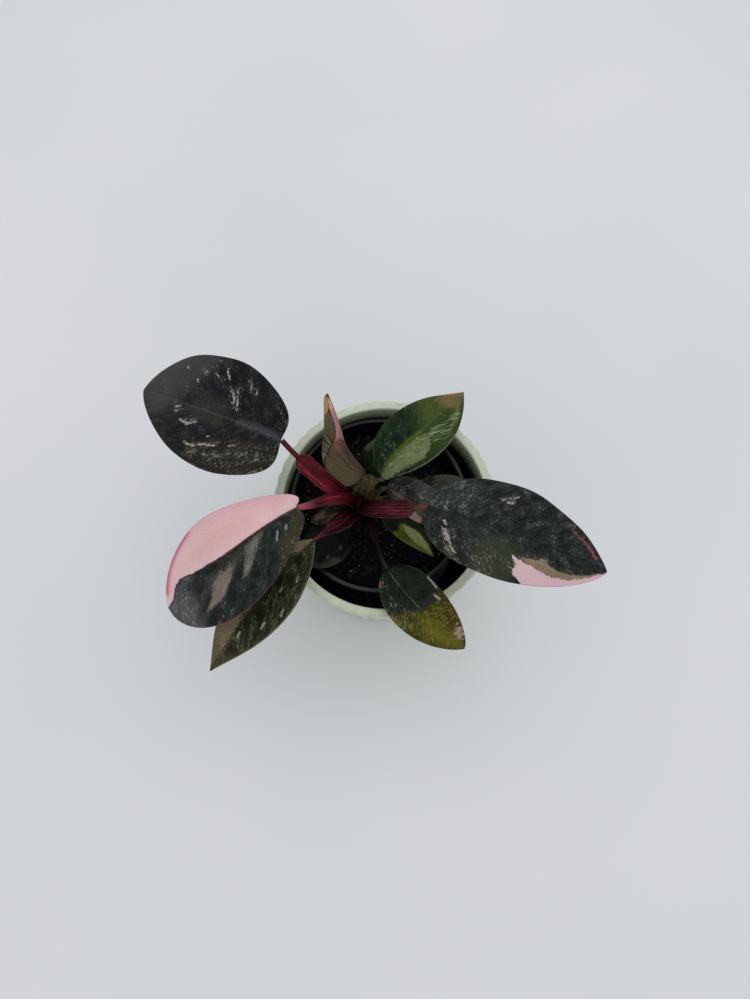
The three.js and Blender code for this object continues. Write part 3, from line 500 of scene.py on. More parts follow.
                                 (0, 1.3), (0.5, 1.3), (0.54, 0.5), (0.56, -0.1)])],
             "fold_pink": [("patch", [(0.57, -0.4), (0.54, 0.0), (0.52, 1.3), (0.3, 1.3), (0.36, 0.2),
                                      (0.42, -0.3)])],
             "fold_grey": [("patch", [(0.42, 0.4), (0.38, 1.3), (0.0, 1.3), (0.04, 0.5), (0.2, 0.25)])],
             "rolled": [("patch", [(0.58, -0.45), (0.64, -0.5), (0.72, -0.7), (0.74, -1.3), (0.34, -1.3),
                                   (0.38, -1.0), (0.47, -0.87)])],
             "upper": [("patch", [(0.9, -1.3), (0.88, -0.5), (0.77, -0.22), (0.66, -0.24), (0.58, -0.38),
                                  (0.64, -0.5), (0.72, -0.75), (0.72, -1.3)])],
             "pink_strip": [("patch", [(0.92, -0.45), (0.77, -0.19), (0.66, -0.21), (0.57, -0.33),
                                       (0.54, 0.0), (0.53, 1.3), (0.95, 1.3), (0.97, 0)])],
             "crease": [("stroke", 2.2, [(0.57, -0.32), (0.54, 0.1), (0.53, 0.9)])],
             "tan": [("patch", [(0.87, -1.3), (0.885, -0.7), (0.92, -0.42), (0.985, -0.3), (1.0, -1.3)])],
             "tan_pink": [("patch", [(0.92, -0.42), (0.89, -0.3), (0.89, 1.3), (1.0, 1.3), (0.99, -0.3)])],
             "dark_tip": [("stroke", 2.4, [(0.985, -0.2), (1.0, 0)])],
             "fold_rib": [("stroke", 0.7, [(0.56, -0.36), (0.3, -0.1), (0.15, -0.04), (0.03, 0.27)])],
             # painted shade beside the midrib and along the fold's edge
             "shade_lines": [
                 ("stroke", 0.7, [(0.28, -0.18), (0.15, -0.14), (0.08, 0.0)]),
                 ("stroke", 1.2, [(0.585, -0.42), (0.53, -0.66), (0.47, -0.9), (0.38, -1.02), (0.14, -0.97)]),
             ],
         },
         coats=[
             coat("#655a44", "fold", soft=0.8, ragged=0.3, amount=0.9),
             coat("#94695f", "fold_pink", soft=5, ragged=1, amount=0.75),
             coat("#574b49", "fold_grey", soft=4, ragged=1, amount=0.75),
             coat("#3b3025", "fold", fleck=(0.55, 1.5, 8), soft=1, amount=0.5),
             coat("#3a3d29", "rolled", soft=0.8, ragged=0.3, amount=0.9),
             coat("#9b9878", "rolled", fleck=(0.52, 1.0, 8), soft=0.6, amount=0.8),
             coat("#655740", "upper", soft=0.8, ragged=0.3, amount=0.9),
             coat("#2e2a1a", "upper", fleck=(0.57, 1.0, 5), soft=0.6, amount=0.6),
             coat("#927262", "upper", fleck=(0.60, 1.2, 4), soft=1, amount=0.7),
             coat("#ba8b8c", "pink_strip", soft=0.7, ragged=0.25, amount=0.95),
             coat("#8f5c5c", "crease", soft=2.4, amount=0.7),
             coat("#b38a56", "tan", soft=1.2, ragged=0.4, amount=0.95),
             coat("#c9a79e", "tan_pink", soft=1.0, ragged=0.3, amount=0.9),
             coat("#43301c", "dark_tip", soft=2.0, amount=0.9),
             coat("#8d665c", "fold_rib", soft=0.7, amount=0.7),
             # painted shade: dark lines beside the midrib and along the fold's edge
             coat("#1d1710", "shade_lines", soft=0.8, amount=0.75),
         ],
         rib=("#51463b", 0.5, 0.1), margin=("#7c6a5c", 0.3, 0.35)),
    # 8: lime and cream, low over the soil, with painted shade along its upper side and at its base
    dict(slot="lime_leaf", grid=(44, 64), veins=(3.4, 0.08), slant=1.4, bend=0.9,
         ground=("#3c4a0c", "#5c6c14"), under="#5c6434",
         areas={
             "cream": [("patch", [(0.26, -0.55), (0.45, -0.55), (0.7, -0.5), (0.9, -0.45), (0.94, 0.3),
                                  (0.7, 0.4), (0.5, 0.2), (0.36, -0.1)])],
             # painted shade: under the neighbouring stalk and leaf, and in the crown
             "shaded_side": [("patch", [(0, 0.3), (0.14, 0.0), (0.25, -0.45), (0.5, -0.6), (0.8, -0.58),
                                      (1, -0.4), (1, -1.3), (0, -1.3)])],
             "shaded_base": [("patch", [(-0.02, -1.2), (0.24, -0.5), (0.28, 0.3), (0.18, 1.3), (-0.02, 1.3)])],
             "grey_edge": [("stroke", 1.0, [(0.35, 1.0), (0.6, 1.0), (0.8, 1.0)])],
         },
         coats=[
             coat("#74802a", fleck=(0.5, 1.2, 5), amount=0.6),
             coat("#98a068", "cream", soft=1.2, ragged=0.8, streak=(1.2, 6), amount=0.95),
             coat("#b0b290", "cream", fleck=(0.54, 1.0, 1.8), soft=1.0, amount=0.75),
             coat("#4c5a24", "cream", fleck=(0.58, 1.0, 3), soft=1.0, amount=0.5),
             # painted shade: the upper side under its neighbours, then the base in the crown
             coat("#161f0a", "shaded_side", soft=1.2, ragged=0.5, amount=0.95),
             coat("#0e1408", "shaded_base", soft=3, amount=0.97),
             coat("#84846c", "grey_edge", soft=0.8, amount=0.5),
         ],
         rib=("#5c6030", 0.4, 0.2), margin=("#4c5030", 0.3, 0.3)),
    # 9: grey green, with a beige wedge and a dull pink corner
    dict(LOW_LEAF, slot="charcoal_leaf", ground=("#1c201b", "#2e342c"), under="#4a4038",
         areas={
             "wedge": [("patch", [(0.06, 0.02), (0.2, 0.02), (0.3, 0.25), (0.24, 0.42), (0.12, 0.4)])],
             "pink": [("patch", [(0.4, 0.7), (0.5, 0.6), (0.6, 0.74), (0.6, 1.3), (0.42, 1.3)])],
             "grey": [("patch", [(0.3, -1.2), (0.4, -0.3), (0.6, 0.1), (0.9, 0.1), (0.9, -1.2)])],
             "pale_arc": [("stroke", 1.2, [(0.08, -0.8), (0.2, -0.9), (0.36, -0.92)])],
         },
         coats=[
             coat("#50504c", "grey", soft=6, ragged=1, amount=0.6),
             coat("#6c7068", fleck=(0.56, 0.9, 2), amount=0.6),
             coat("#9a9a90", fleck=(0.66, 0.9, 1.5), amount=0.6),
             coat("#6a645a", "pale_arc", soft=1.2, ragged=0.6, amount=0.5),
             coat("#6c6455", "wedge", soft=1.6, ragged=0.8, amount=0.8),
             coat("#8c7472", "pink", soft=1.0, ragged=0.6, amount=0.9),
         ],
         rib=("#4a4c44", 0.45, 0.3), margin=("#585650", 0.4, 0.4)),
    # 10: low, behind, flecked all over
    dict(LOW_LEAF, slot="green_leaf", ground=("#191d17", "#282d26"), under="#4a4a40",
         areas={"top": [("patch", [(0.1, -1.3), (0.2, -0.55), (0.48, -0.45), (0.5, -1.3)])]},
         coats=[
             coat("#1c2a14", "top", soft=3, ragged=1, amount=0.7),
             coat("#6c6c64", fleck=(0.56, 0.9, 1.8), amount=0.65),
             coat("#a0a098", fleck=(0.65, 0.9, 1.5), amount=0.7),
         ],
         rib=("#4c5048", 0.4, 0.3), margin=("#5c5c54", 0.4, 0.35)),
    # 11: low, behind, with a pale margin
    dict(LOW_LEAF, slot="green_leaf", ground=("#070d06", "#131b0b"), under="#3c4430",
         areas={"edge": [("patch", [(0.42, -0.7), (0.6, -0.66), (0.8, -0.6), (0.8, -1.3), (0.4, -1.3)])]},
         coats=[
             coat("#2c3812", fleck=(0.54, 1.4, 4), amount=0.6),
             coat("#434a2c", "edge", soft=2.0, ragged=0.8, amount=0.8),
             coat("#5c6c60", fleck=(0.68, 0.9, 1.6), amount=0.4),
         ],
         rib=("#2a3a1c", 0.4, 0.3), margin=("#3c4430", 0.5, 0.4)),
    # 12: low, at the front left, dark with a grey margin
    dict(LOW_LEAF, slot="green_leaf", grid=(52, 72), veins=(4.0, 0.10),
         ground=("#060b07", "#0f160f"), under="#343c30",
         areas={
             "edge": [("patch", [(0.42, -0.86), (0.52, -0.62), (0.62, -0.74), (0.9, -0.66), (0.95, -1.3),
                                 (0.4, -1.3)])],
             "tip": [("patch", [(0.78, -0.6), (0.84, 0.5), (1.05, 0.6), (1.05, -1.2)])],
             "spots": [
                 ("stroke", 1.2, [(0.30, -0.52), (0.31, -0.54)]),
                 ("stroke", 1.6, [(0.56, -0.54), (0.58, -0.56)]),
             ],
         },
         coats=[
             coat("#20281a", fleck=(0.54, 1.6, 4), amount=0.5),
             coat("#363c2e", "tip", soft=4, ragged=1, amount=0.8),
             coat("#3e4038", "edge", soft=2.0, ragged=1, amount=0.8),
             coat("#6a6e64", fleck=(0.68, 0.9, 1.5), amount=0.5),
             coat("#5c5e56", "spots", soft=1.0, ragged=0.8, amount=0.7),
         ],
         rib=("#1c241a", 0.4, 0.3), margin=("#34382f", 0.5, 0.4)),
    # 13: small, mottled, between the stalks
    dict(slot="mottled_leaf", grid=(32, 48), veins=(3.0, 0.06), slant=1.4, bend=0.8,
         ground=("#1c1b14", "#2e2a20"), under="#5c5040",
         areas={
             "beige": [("patch", [(0.15, -0.5), (0.4, -0.7), (0.6, -0.6), (0.5, 0.0), (0.3, 0.1)]),
                       ("patch", [(0.6, -0.2), (0.9, -0.1), (0.84, 0.8), (0.56, 0.7)])],
             "green": [("patch", [(0.1, 0.1), (0.3, 0.0), (0.5, -0.5), (0.6, -0.5), (0.6, -0.1),
                                  (0.4, 0.1), (0.2, 0.6)])],
             "pink_side": [("stroke", 1.4, [(0.05, -0.2), (0.25, -0.4), (0.5, -0.62), (0.7, -0.7)])],
         },
         coats=[
             coat("#6a544a", "beige", soft=1.2, ragged=0.8, streak=(1, 5), amount=0.85),
             coat("#24301f", "green", soft=1.0, ragged=0.6, amount=0.8),
             coat("#5c3c40", "pink_side", soft=1.0, ragged=0.4, amount=0.6),
             coat("#7c7460", fleck=(0.62, 0.9, 1.6), amount=0.6),
         ],
         rib=("#4a4036", 0.3, 0.3), margin=("#34302a", 0.3, 0.4)),
]

# Each stalk's finish, with 0 for all the mottled ones: the skin's two shades; the painted highlight
# on the crests of the sheath's ridges, and its pale edges; the painted shade where it leaves the stem;
# where it meets the blade, with how much; its flecks; how rough and how cloudy it is; how close and
# how deep the ridges are; and where across the sheath, from -1 to 1, and how wide, light is painted.
STALK_LOOKS = {
    1: dict(slot="crimson_stalk", shades=("#2c0208", "#6a0b1a"), crest_highlight="#b85a72", edge="#8a4048",
            foot="#160105", tip=("#48141b", 0.8), fleck="#a05462", rough=0.3, cloudy=0.1,
            ridges=(2.6, 0.5), painted_light=(-0.5, 0.35)),
    2: dict(slot="crimson_stalk", shades=("#240306", "#620a18"), crest_highlight="#a02c42", edge="#8c303f",
            foot="#1c0206", tip=("#a8505a", 0.75), fleck="#a85c66", rough=0.32, cloudy=0.1,
            ridges=(1.2, 0.5), painted_light=(0.55, 0.4)),
    3: dict(slot="burgundy_stalk", shades=("#180307", "#3c0b16"), crest_highlight="#7a333d", edge="#7a4446",
            foot="#120205", tip=("#6c2c35", 0.6), fleck="#805055", rough=0.34, cloudy=0.3,
            ridges=(1.5, 0.9), painted_light=(0.3, 0.5)),
    4: dict(slot="burgundy_stalk", shades=("#190206", "#420812"), crest_highlight="#94404e", edge="#6c3239",
            foot="#0e0204", tip=("#66382f", 0.85), fleck="#8a5559", rough=0.34, cloudy=0.1,
            ridges=(2.8, 1.0), painted_light=(0.15, 0.7)),
    6: dict(slot="burgundy_stalk", shades=("#0c0305", "#1e090c"), crest_highlight="#4c3034", edge="#3c2a2c",
            foot="#080203", tip=("#2e2a22", 0.8), fleck="#5c4c46", rough=0.4, cloudy=0.5,
            ridges=(1.2, 0.4), painted_light=(0.3, 0.4)),
    0: dict(slot="mottled_stalk", shades=("#14120a", "#352f17"), crest_highlight="#4c462c", edge="#4e482e",
            foot="#0c0a06", tip=("#3c3820", 0.5), fleck="#8c8260", flecks=0.53, rough=0.42, cloudy=1.0,
            ridges=(1.4, 0.5), painted_light=(0.0, 1.0)),
}

# ---------------------------------------------------------------- small helpers


def mix(a, b, share):
    return a + (b - a) * share


def smooth(low, high, x):
    share = np.clip((x - low) / (high - low), 0, 1)
    return share * share * (3 - 2 * share)


def colour(text):
    """A colour written as #rrggbb, as linear light."""
    parts = [int(text[i:i + 2], 16) / 255 for i in (1, 3, 5)]
    linear = [p / 12.92 if p <= 0.04045 else ((p + 0.055) / 1.055) ** 2.4 for p in parts]
    return (*linear, 1.0)


def bezier(points, share):
    a, b, c, d = (np.array(p, float) for p in points)
    s = np.asarray(share, float)[:, None]
    return a * (1 - s) ** 3 + 3 * b * s * (1 - s) ** 2 + 3 * c * s * s * (1 - s) + d * s ** 3


def bezier_direction(points, share):
    a, b, c, d = (np.array(p, float) for p in points)
    s = np.asarray(share, float)[:, None]
    run = (b - a) * (1 - s) ** 2 + 2 * (c - b) * s * (1 - s) + (d - c) * s * s
    return run / np.linalg.norm(run, axis=1, keepdims=True)


def across_and_up(along):
    side = np.cross(along, UP)
    side /= np.linalg.norm(side, axis=1, keepdims=True)
    return side, np.cross(side, along)


def deselect():
    if bpy.context.object and bpy.context.object.mode == "EDIT":
        bpy.ops.object.mode_set(mode="OBJECT")
    bpy.ops.object.select_all(action="DESELECT")


def choose(*pieces):
    """Selects these pieces alone, and makes the first one active."""
    deselect()
    for piece in pieces:
        piece.select_set(True)
    bpy.context.view_layer.objects.active = pieces[0]


def joined(pieces):
    choose(*pieces)
    bpy.ops.object.join()
    return bpy.context.object


def editing():
    bpy.ops.object.mode_set(mode="EDIT")
    bpy.ops.mesh.select_all(action="SELECT")


def done_editing():
    bpy.ops.object.mode_set(mode="OBJECT")
    return bpy.context.object


def corners(piece):
    """A mesh's vertices as an array."""
    flat = np.empty(len(piece.data.vertices) * 3)
    piece.data.vertices.foreach_get("co", flat)
    return flat.reshape(-1, 3)


def set_corners(piece, points):
    piece.data.vertices.foreach_set("co", np.ascontiguousarray(points, float).ravel())
    piece.data.update()


def note(piece, name, values):
    """Keeps a number at each vertex, for the finish to read."""
    layer = piece.data.attributes.new(name, "FLOAT", "POINT")
    layer.data.foreach_set("value", np.ascontiguousarray(values, np.float32))


def set_uv(piece, name, u, v):
    """A UV map from two numbers at each vertex."""
    layer = piece.data.uv_layers.new(name=name)
    at = np.empty(len(piece.data.loops), int)
    piece.data.loops.foreach_get("vertex_index", at)
    layer.data.foreach_set("uv", np.stack([u[at], v[at]], 1).astype(np.float32).ravel())


def grid_sheet(columns, rows):
    """A flat grid, with x and y running from 0 to 1."""
    deselect()
    bpy.ops.mesh.primitive_grid_add(x_subdivisions=columns, y_subdivisions=rows, size=1,
                                    location=(0.5, 0.5, 0), calc_uvs=False)
    bpy.ops.object.transform_apply()
    return bpy.context.object


def face_out():
    """In edit mode: points every face outwards."""
    bpy.ops.mesh.select_all(action="SELECT")
    bpy.ops.mesh.normals_make_consistent(inside=False)


def finished(piece, name, finish, slot, *nodes):
    """Names a piece, gives it its finish and its place in the frame."""
    piece.name = name
    piece.data.name = name
    piece.data.materials.clear()
    piece.data.materials.append(finish)
    for polygon in piece.data.polygons:
        polygon.use_smooth = True
    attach(piece, "root")
    if nodes:
        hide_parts(*nodes)


# ---------------------------------------------------------------- shader helpers


def feed(tree, node, inputs):
    """Fills a node's inputs with values, nodes (their first output) or sockets."""
    for key, value in inputs.items():
        if isinstance(value, bpy.types.Node):
            value = value.outputs[0]
        if isinstance(value, bpy.types.NodeSocket):
            tree.links.new(value, node.inputs[key])
        else:
            node.inputs[key].default_value = value


def put(tree, kind, inputs=None, **settings):
    """Adds a shader node, sets it up and fills its inputs."""
    node = tree.nodes.new("ShaderNode" + kind)
    for key, value in settings.items():
        setattr(node, key, value)
    feed(tree, node, inputs or {})
    return node


def sums(tree, operation, *values):
    return put(tree, "Math", dict(enumerate(values)), operation=operation)


def times(tree, value, by):
    return sums(tree, "MULTIPLY", value, by)


def ramp(tree, value, low, high, start=0.0, end=1.0):
    return put(tree, "MapRange", {"Value": value, "From Min": low, "From Max": high,
                                  "To Min": start, "To Max": end},
               interpolation_type="SMOOTHSTEP")


def blend(tree, share, below, above):
    """Lays one colour over another."""
    node = put(tree, "Mix", {0: share, 6: below, 7: above}, data_type="RGBA")
    return node.outputs[2]


def shaded(tree, paint, light):
    """Makes a colour lighter or darker by a number."""
    node = put(tree, "Mix", {0: 1.0, 6: paint, 7: light}, data_type="RGBA", blend_type="MULTIPLY")
    return node.outputs[2]


def attribute(tree, name):
    return put(tree, "Attribute", attribute_name=name).outputs["Fac"]


def noise_at(tree, place, scale=1.0, detail=2.0, roughness=0.5):
    return put(tree, "TexNoise", {"Vector": place, "Scale": scale, "Detail": detail,
                                  "Roughness": roughness})


def group_of(name, inputs, outputs):
    """An empty shader group with named sockets; gives its tree, its inputs and its end."""
    tree = bpy.data.node_groups.new(name, "ShaderNodeTree")
    kinds = {"value": "NodeSocketFloat", "vector": "NodeSocketVector", "colour": "NodeSocketColor"}
    for socket, kind in inputs.items():
        tree.interface.new_socket(socket, in_out="INPUT", socket_type=kinds[kind])
    for socket, kind in outputs.items():
        tree.interface.new_socket(socket, in_out="OUTPUT", socket_type=kinds[kind])
    return tree, tree.nodes.new("NodeGroupInput").outputs, tree.nodes.new("NodeGroupOutput").inputs


def use_group(tree, name, inputs):
    return put(tree, "Group", inputs, node_tree=bpy.data.node_groups[name]).outputs


def streaks_at(tree, place, width, length, seed):
    return use_group(tree, "vein_streaks", {"Place": place, "Width": width, "Length": length,
                                            "Seed": seed})["Noise"]


def flecks_in(tree, level, threshold, cluster=0.5):
    return use_group(tree, "flecks", {"Noise": level, "Cluster": cluster,
                                      "Threshold": threshold})["Mask"]


def clouded(tree, place, cloud, grain, dark, light):
    """Gives the outputs Colour and Grain."""
    return use_group(tree, "clouded_grain", {"Place": place, "Cloud": cloud, "Grain": grain,
                                             "Dark": colour(dark), "Light": colour(light)})


def fine_relief(tree, height, strength, distance):
    return put(tree, "Bump", {"Strength": strength, "Distance": distance, "Height": height})


def new_finish(name):
    """A material with a Principled shader; gives the material, its tree and that shader."""
    material = bpy.data.materials.new(name)
    material.use_nodes = True
    return material, material.node_tree, material.node_tree.nodes["Principled BSDF"]


def vein_streaks_group():
    """Noise drawn out along the side veins."""
    tree, given, end = group_of(
        "vein_streaks",
        {"Place": "vector", "Width": "value", "Length": "value", "Seed": "value"},
        {"Noise": "value"})
    size = put(tree, "CombineXYZ", {"X": given["Width"], "Y": given["Length"], "Z": 1.0})
    spread = put(tree, "VectorMath", {0: given["Place"], 1: size}, operation="DIVIDE")
    shift = put(tree, "CombineXYZ", {"Z": given["Seed"]})
    place = put(tree, "VectorMath", {0: spread, 1: shift}, operation="ADD")
    tree.links.new(noise_at(tree, place, 1.0, 3.0, 0.6).outputs[0], end["Noise"])


def ragged_area_group():
    """A mask that is 1 inside an area, with its edge broken up by the side veins."""
    tree, given, end = group_of(
        "ragged_area",
        {"Inside": "value", "Noise": "value", "Fine": "value", "Ragged": "value", "Soft": "value"},
        {"Mask": "value"})
    both = sums(tree, "SUBTRACT", sums(tree, "ADD", given["Noise"], given["Fine"]), 1.0)
    wander = times(tree, both, given["Ragged"])
    field = sums(tree, "ADD", given["Inside"], times(tree, wander, RAGGED_REACH))
    half = times(tree, given["Soft"], 0.5)
    mask = ramp(tree, field, times(tree, half, -1.0), half)
    tree.links.new(mask.outputs[0], end["Mask"])


def flecks_group():
    """A mask of flecks where a noise is over a threshold, denser where the cluster is high."""
    tree, given, end = group_of(
        "flecks", {"Noise": "value", "Cluster": "value", "Threshold": "value"}, {"Mask": "value"})
    crowd = times(tree, sums(tree, "SUBTRACT", given["Cluster"], 0.5), CROWDING)
    level = sums(tree, "ADD", given["Noise"], crowd)
    high = sums(tree, "ADD", given["Threshold"], FLECK_EDGE)
    mask = ramp(tree, level, given["Threshold"], high)
    tree.links.new(mask.outputs[0], end["Mask"])


def grain_group():
    """Two shades clouded into each other, and a fine grain for relief and roughness."""
    tree, given, end = group_of(
        "clouded_grain",
        {"Place": "vector", "Cloud": "value", "Grain": "value", "Dark": "colour", "Light": "colour"},
        {"Colour": "colour", "Grain": "value"})
    cloud = noise_at(tree, given["Place"], given["Cloud"], 4.0, 0.6)
    fine = noise_at(tree, given["Place"], given["Grain"], 3.0, 0.6)
    share = ramp(tree, cloud, 0.34, 0.66)
    tree.links.new(blend(tree, share, given["Dark"], given["Light"]), end["Colour"])
    tree.links.new(fine.outputs[0], end["Grain"])


# ---------------------------------------------------------------- blades


def fullness(ends, s):
    base, tip = ends
    widest = base / (base + tip)
    rise = np.maximum(s, 1e-9) / widest
    fall = np.maximum(1 - s, 1e-9) / (1 - widest)
    return rise ** base * fall ** tip


def half_width(leaf, s, t):
    full = np.where(t < 0, fullness(leaf["shape"][0], s), fullness(leaf["shape"][1], s))
    width = np.where(t < 0, leaf["width"][0], leaf["width"][1])
    return mix(*BLADE_NECK, s) + width * full, full


def rib_length(leaf):
    points = bezier(leaf["rib"], np.linspace(0, 1, 60))
    return np.linalg.norm(np.diff(points, axis=0), axis=1).sum()


def blade_surface(leaf, s, t):
    """The blade's middle surface and the direction out of it, with the fold softened at the rib."""
    along = bezier_direction(leaf["rib"], s)
    side, up = across_and_up(along)
    half, full = half_width(leaf, s, t)
    away = half * np.abs(t)
    softened = np.sqrt(away ** 2 + CREASE ** 2)
    lifted = softened - CREASE
    hand = half * t / softened
    fold = np.radians(mix(*leaf["fold"], s))
    ripple = np.sin(2 * np.pi * (leaf["waves"] * s + 0.25 * np.sign(t)))
    rise = lifted * np.sin(fold) + half * leaf["cup"] * t ** 2 + leaf["wave"] * t ** 2 * ripple * full
    chord = np.linalg.norm(np.subtract(leaf["rib"][3], leaf["rib"][0]))
    reach = s / LOBE_AT
    lobe = np.where(t < 0, *leaf["lobe"])
    back = chord * lobe * reach * np.exp(1 - reach) * np.abs(t) ** LOBE_SPREAD
    point = (bezier(leaf["rib"], s) + side * (half * t * np.cos(fold))[:, None]
             + up * rise[:, None] - along * back[:, None])
    out = up * np.cos(fold)[:, None] - side * (hand * np.sin(fold))[:, None]
    return point, out, away, half


def vein_place(leaf, look, s, away):
    """How far along the rib the side vein through a point starts, in mm."""
    width = max(leaf["width"])
    return s * rib_length(leaf) - look["slant"] * away - look["bend"] * away ** 2 / width


def vein_relief(look, start, away, t, s):
    """The blade dips at each side vein and swells between them."""
    spacing, depth = look["veins"]
    turn = start / spacing
    valley = (0.5 + 0.5 * np.cos(2 * np.pi * turn)) ** 2
    reach = smooth(0.5, 2.5, away) * (1 - smooth(0.8, 1.0, np.abs(t))) * smooth(0, 0.08, s)
    return depth * (0.5 - valley) * reach * (1 - smooth(0.85, 1, s))


def shape_distance(shape, leaf, x, y):
    """How far inside a marking's shape each point lies, in mm; below zero outside."""
    closed = shape[0] == "patch"
    places = np.array(shape[-1] + shape[-1][:1] if closed else shape[-1], float)
    steps = np.linspace(0, len(places) - 1, MARK_STEPS * (len(places) - 1) + 1)
    s = np.interp(steps, range(len(places)), places[:, 0])
    t = np.interp(steps, range(len(places)), places[:, 1])
    px, py = s * rib_length(leaf), t * half_width(leaf, np.clip(s, 0, 1), t)[0]
    nearest = np.full(x.shape, 1e9)
    inside = np.zeros(x.shape, bool)
    for i, j in zip(range(len(px) - 1), range(1, len(px))):
        dx, dy = px[j] - px[i], py[j] - py[i]
        share = np.clip(((x - px[i]) * dx + (y - py[i]) * dy) / (dx * dx + dy * dy), 0, 1)
        nearest = np.minimum(nearest, np.hypot(x - px[i] - share * dx, y - py[i] - share * dy))
        if closed and dy:
            crosses = (py[i] > y) != (py[j] > y)
            inside ^= crosses & (x < px[i] + (y - py[i]) * dx / dy)
    if closed:
        return np.where(inside, nearest, -nearest)
    return shape[1] / 2 - nearest


def make_blade(number, leaf, look):
    """A closed slab, pressed into the blade's form, with its veins in relief."""
    columns, rows = look["grid"]
    grid_sheet(columns, rows)
    editing()
    bpy.ops.mesh.extrude_region_move(TRANSFORM_OT_translate={"value": (0, 0, 1)})
    face_out()
    piece = done_editing()
    flat = corners(piece)
    t = 2 * flat[:, 0] - 1
    s = mix(flat[:, 1], (1 - np.cos(np.pi * flat[:, 1])) / 2, ROW_BUNCHING)
    top = flat[:, 2] > 0.5
    point, out, away, half = blade_surface(leaf, s, t)
    start = vein_place(leaf, look, s, away)
    thin = 1 - MARGIN_THINNING * np.abs(t) ** 5
    relief = vein_relief(look, start, away, t, s)
    groove = GROOVE_DEPTH * (1 - s) * np.exp(-(away / GROOVE_SPREAD) ** 2)
    ridge = mix(*MIDRIB_DEPTH, s) * np.exp(-(away / MIDRIB_SPREAD) ** 2)
    offset = np.where(top, BLADE_THICKNESS / 2 * thin - groove, -BLADE_THICKNESS / 2 * thin - ridge)
    set_corners(piece, MM * (point + out * (offset + relief)[:, None]))
    set_uv(piece, "vein", start, half * t)
    x, y = s * rib_length(leaf), half * t
    set_uv(piece, "blade", mix(x, start, FLECK_SLANT), y)
    for area, shapes in look["areas"].items():
        note(piece, area, np.max([shape_distance(shape, leaf, x, y) for shape in shapes], axis=0))
    note(piece, "rib_mm", away)
    note(piece, "margin_mm", half - away)
    note(piece, "top", top.astype(float))
    editing()
    face_out()
    done_editing()
    name = f"leaf_{number:02d}_blade"
    finished(piece, name + "_fine", leaf_finish(name, look), look["slot"], name)


def leaf_finish(name, look):
    """Glossy blade: clouded ground, marbling, painted sheen and shade, midrib, margin, paler below."""
    material, tree, shader = new_finish(name)
    place = put(tree, "UVMap", uv_map="vein").outputs[0]
    even = put(tree, "UVMap", uv_map="blade").outputs[0]
    ground = clouded(tree, even, 0.16, 2.6, *look["ground"])
    blotches = streaks_at(tree, place, 2.0, 4.5, 50.0)
    fine = streaks_at(tree, even, 1.1, 1.3, 9.0)
    cluster = noise_at(tree, even, 0.16)
    paint = ground["Colour"]
    for cloudiness in (blotches, fine):
        paint = shaded(tree, paint, ramp(tree, cloudiness, *NOISE_SPAN, 0.7, 1.3))
    # painted shade: each side vein is darkened as a line, the shade in its valley
    sway = times(tree, sums(tree, "SUBTRACT", blotches, 0.5), VEIN_SWAY)
    rooted = sums(tree, "ADD", put(tree, "SeparateXYZ", {"Vector": place}).outputs["X"], sway)
    gap = sums(tree, "PINGPONG", rooted, look["veins"][0] / 2)
    paint = shaded(tree, paint, ramp(tree, gap, 0.1, 0.9, *PAINTED_VEIN_SHADE))
    for index, layer in enumerate(look["coats"]):
        mask = layer["amount"]
        if layer["area"]:
            streaks = streaks_at(tree, place, *layer["streak"], COAT_SEED * index)
            area = use_group(tree, "ragged_area", {
                "Inside": attribute(tree, layer["area"]), "Noise": streaks,
                "Fine": fine, "Ragged": layer["ragged"], "Soft": layer["soft"]})["Mask"]
            mask = times(tree, area, mask)
        if layer["fleck"]:
            threshold, across, along = layer["fleck"]
            where = even if along < SHORT_FLECK else place
            spots = streaks_at(tree, where, across, along, FLECK_SEED + COAT_SEED * index)
            mask = times(tree, flecks_in(tree, spots, threshold, cluster), mask)
        paint = blend(tree, mask, paint, colour(layer["colour"]))
    for line, solid in (("rib", 0.4), ("margin", 0.0)):
        tone, width, amount = look[line]
        mask = ramp(tree, attribute(tree, line + "_mm"), solid * width, width, amount, 0.0)
        paint = blend(tree, mask, paint, colour(tone))
    paint = shaded(tree, paint, ramp(tree, fine, *NOISE_SPAN, 0.94, 1.05))
    below = blend(tree, UNDERSIDE_TINT, paint, colour(look["under"]))
    paint = blend(tree, attribute(tree, "top"), below, paint)
    height = sums(tree, "ADD", times(tree, fine, 0.6), ground["Grain"])
    feed(tree, shader, {"Base Color": paint, "Specular IOR Level": 0.09,
                        "Roughness": ramp(tree, ground["Grain"], *NOISE_SPAN, 0.34, 0.46),
                        "Normal": fine_relief(tree, height, 0.35, 0.00012)})
    return material


# ---------------------------------------------------------------- stem and stalks


def stem_share_at(z):
    shares = np.linspace(0, 1, 400)
    return float(np.interp(z, bezier(STEM_PATH, shares)[:, 2], shares))


def roll_tube(sides, steps):
    """A grid to be rolled up: x runs once round, y along."""
    piece = grid_sheet(sides, steps)
    flat = corners(piece)
    return piece, flat[:, 0], flat[:, 1]


def close_tube():
    """Joins the rolled grid's two long sides and closes its ends."""
    editing()
    bpy.ops.mesh.remove_doubles(threshold=SEAM * MM)
    bpy.ops.mesh.select_all(action="DESELECT")
    bpy.ops.mesh.select_mode(type="EDGE")
    bpy.ops.mesh.select_non_manifold()
    bpy.ops.mesh.edge_face_add()
    face_out()
    done_editing()


def stalk_width(sheath, share):
    foot, full, until, over, bare = sheath
    rising = mix(foot, full, smooth(0, STALK_RISE, share))
    ending = np.clip((share - until) / over, 0, 1)
    round_end = 1 - np.sqrt(1 - ending ** 2)
    falling = mix(full, bare, round_end if over < SHORT_SHOULDER else smooth(0, 1, ending))
    return np.where(share < until, rising, falling)


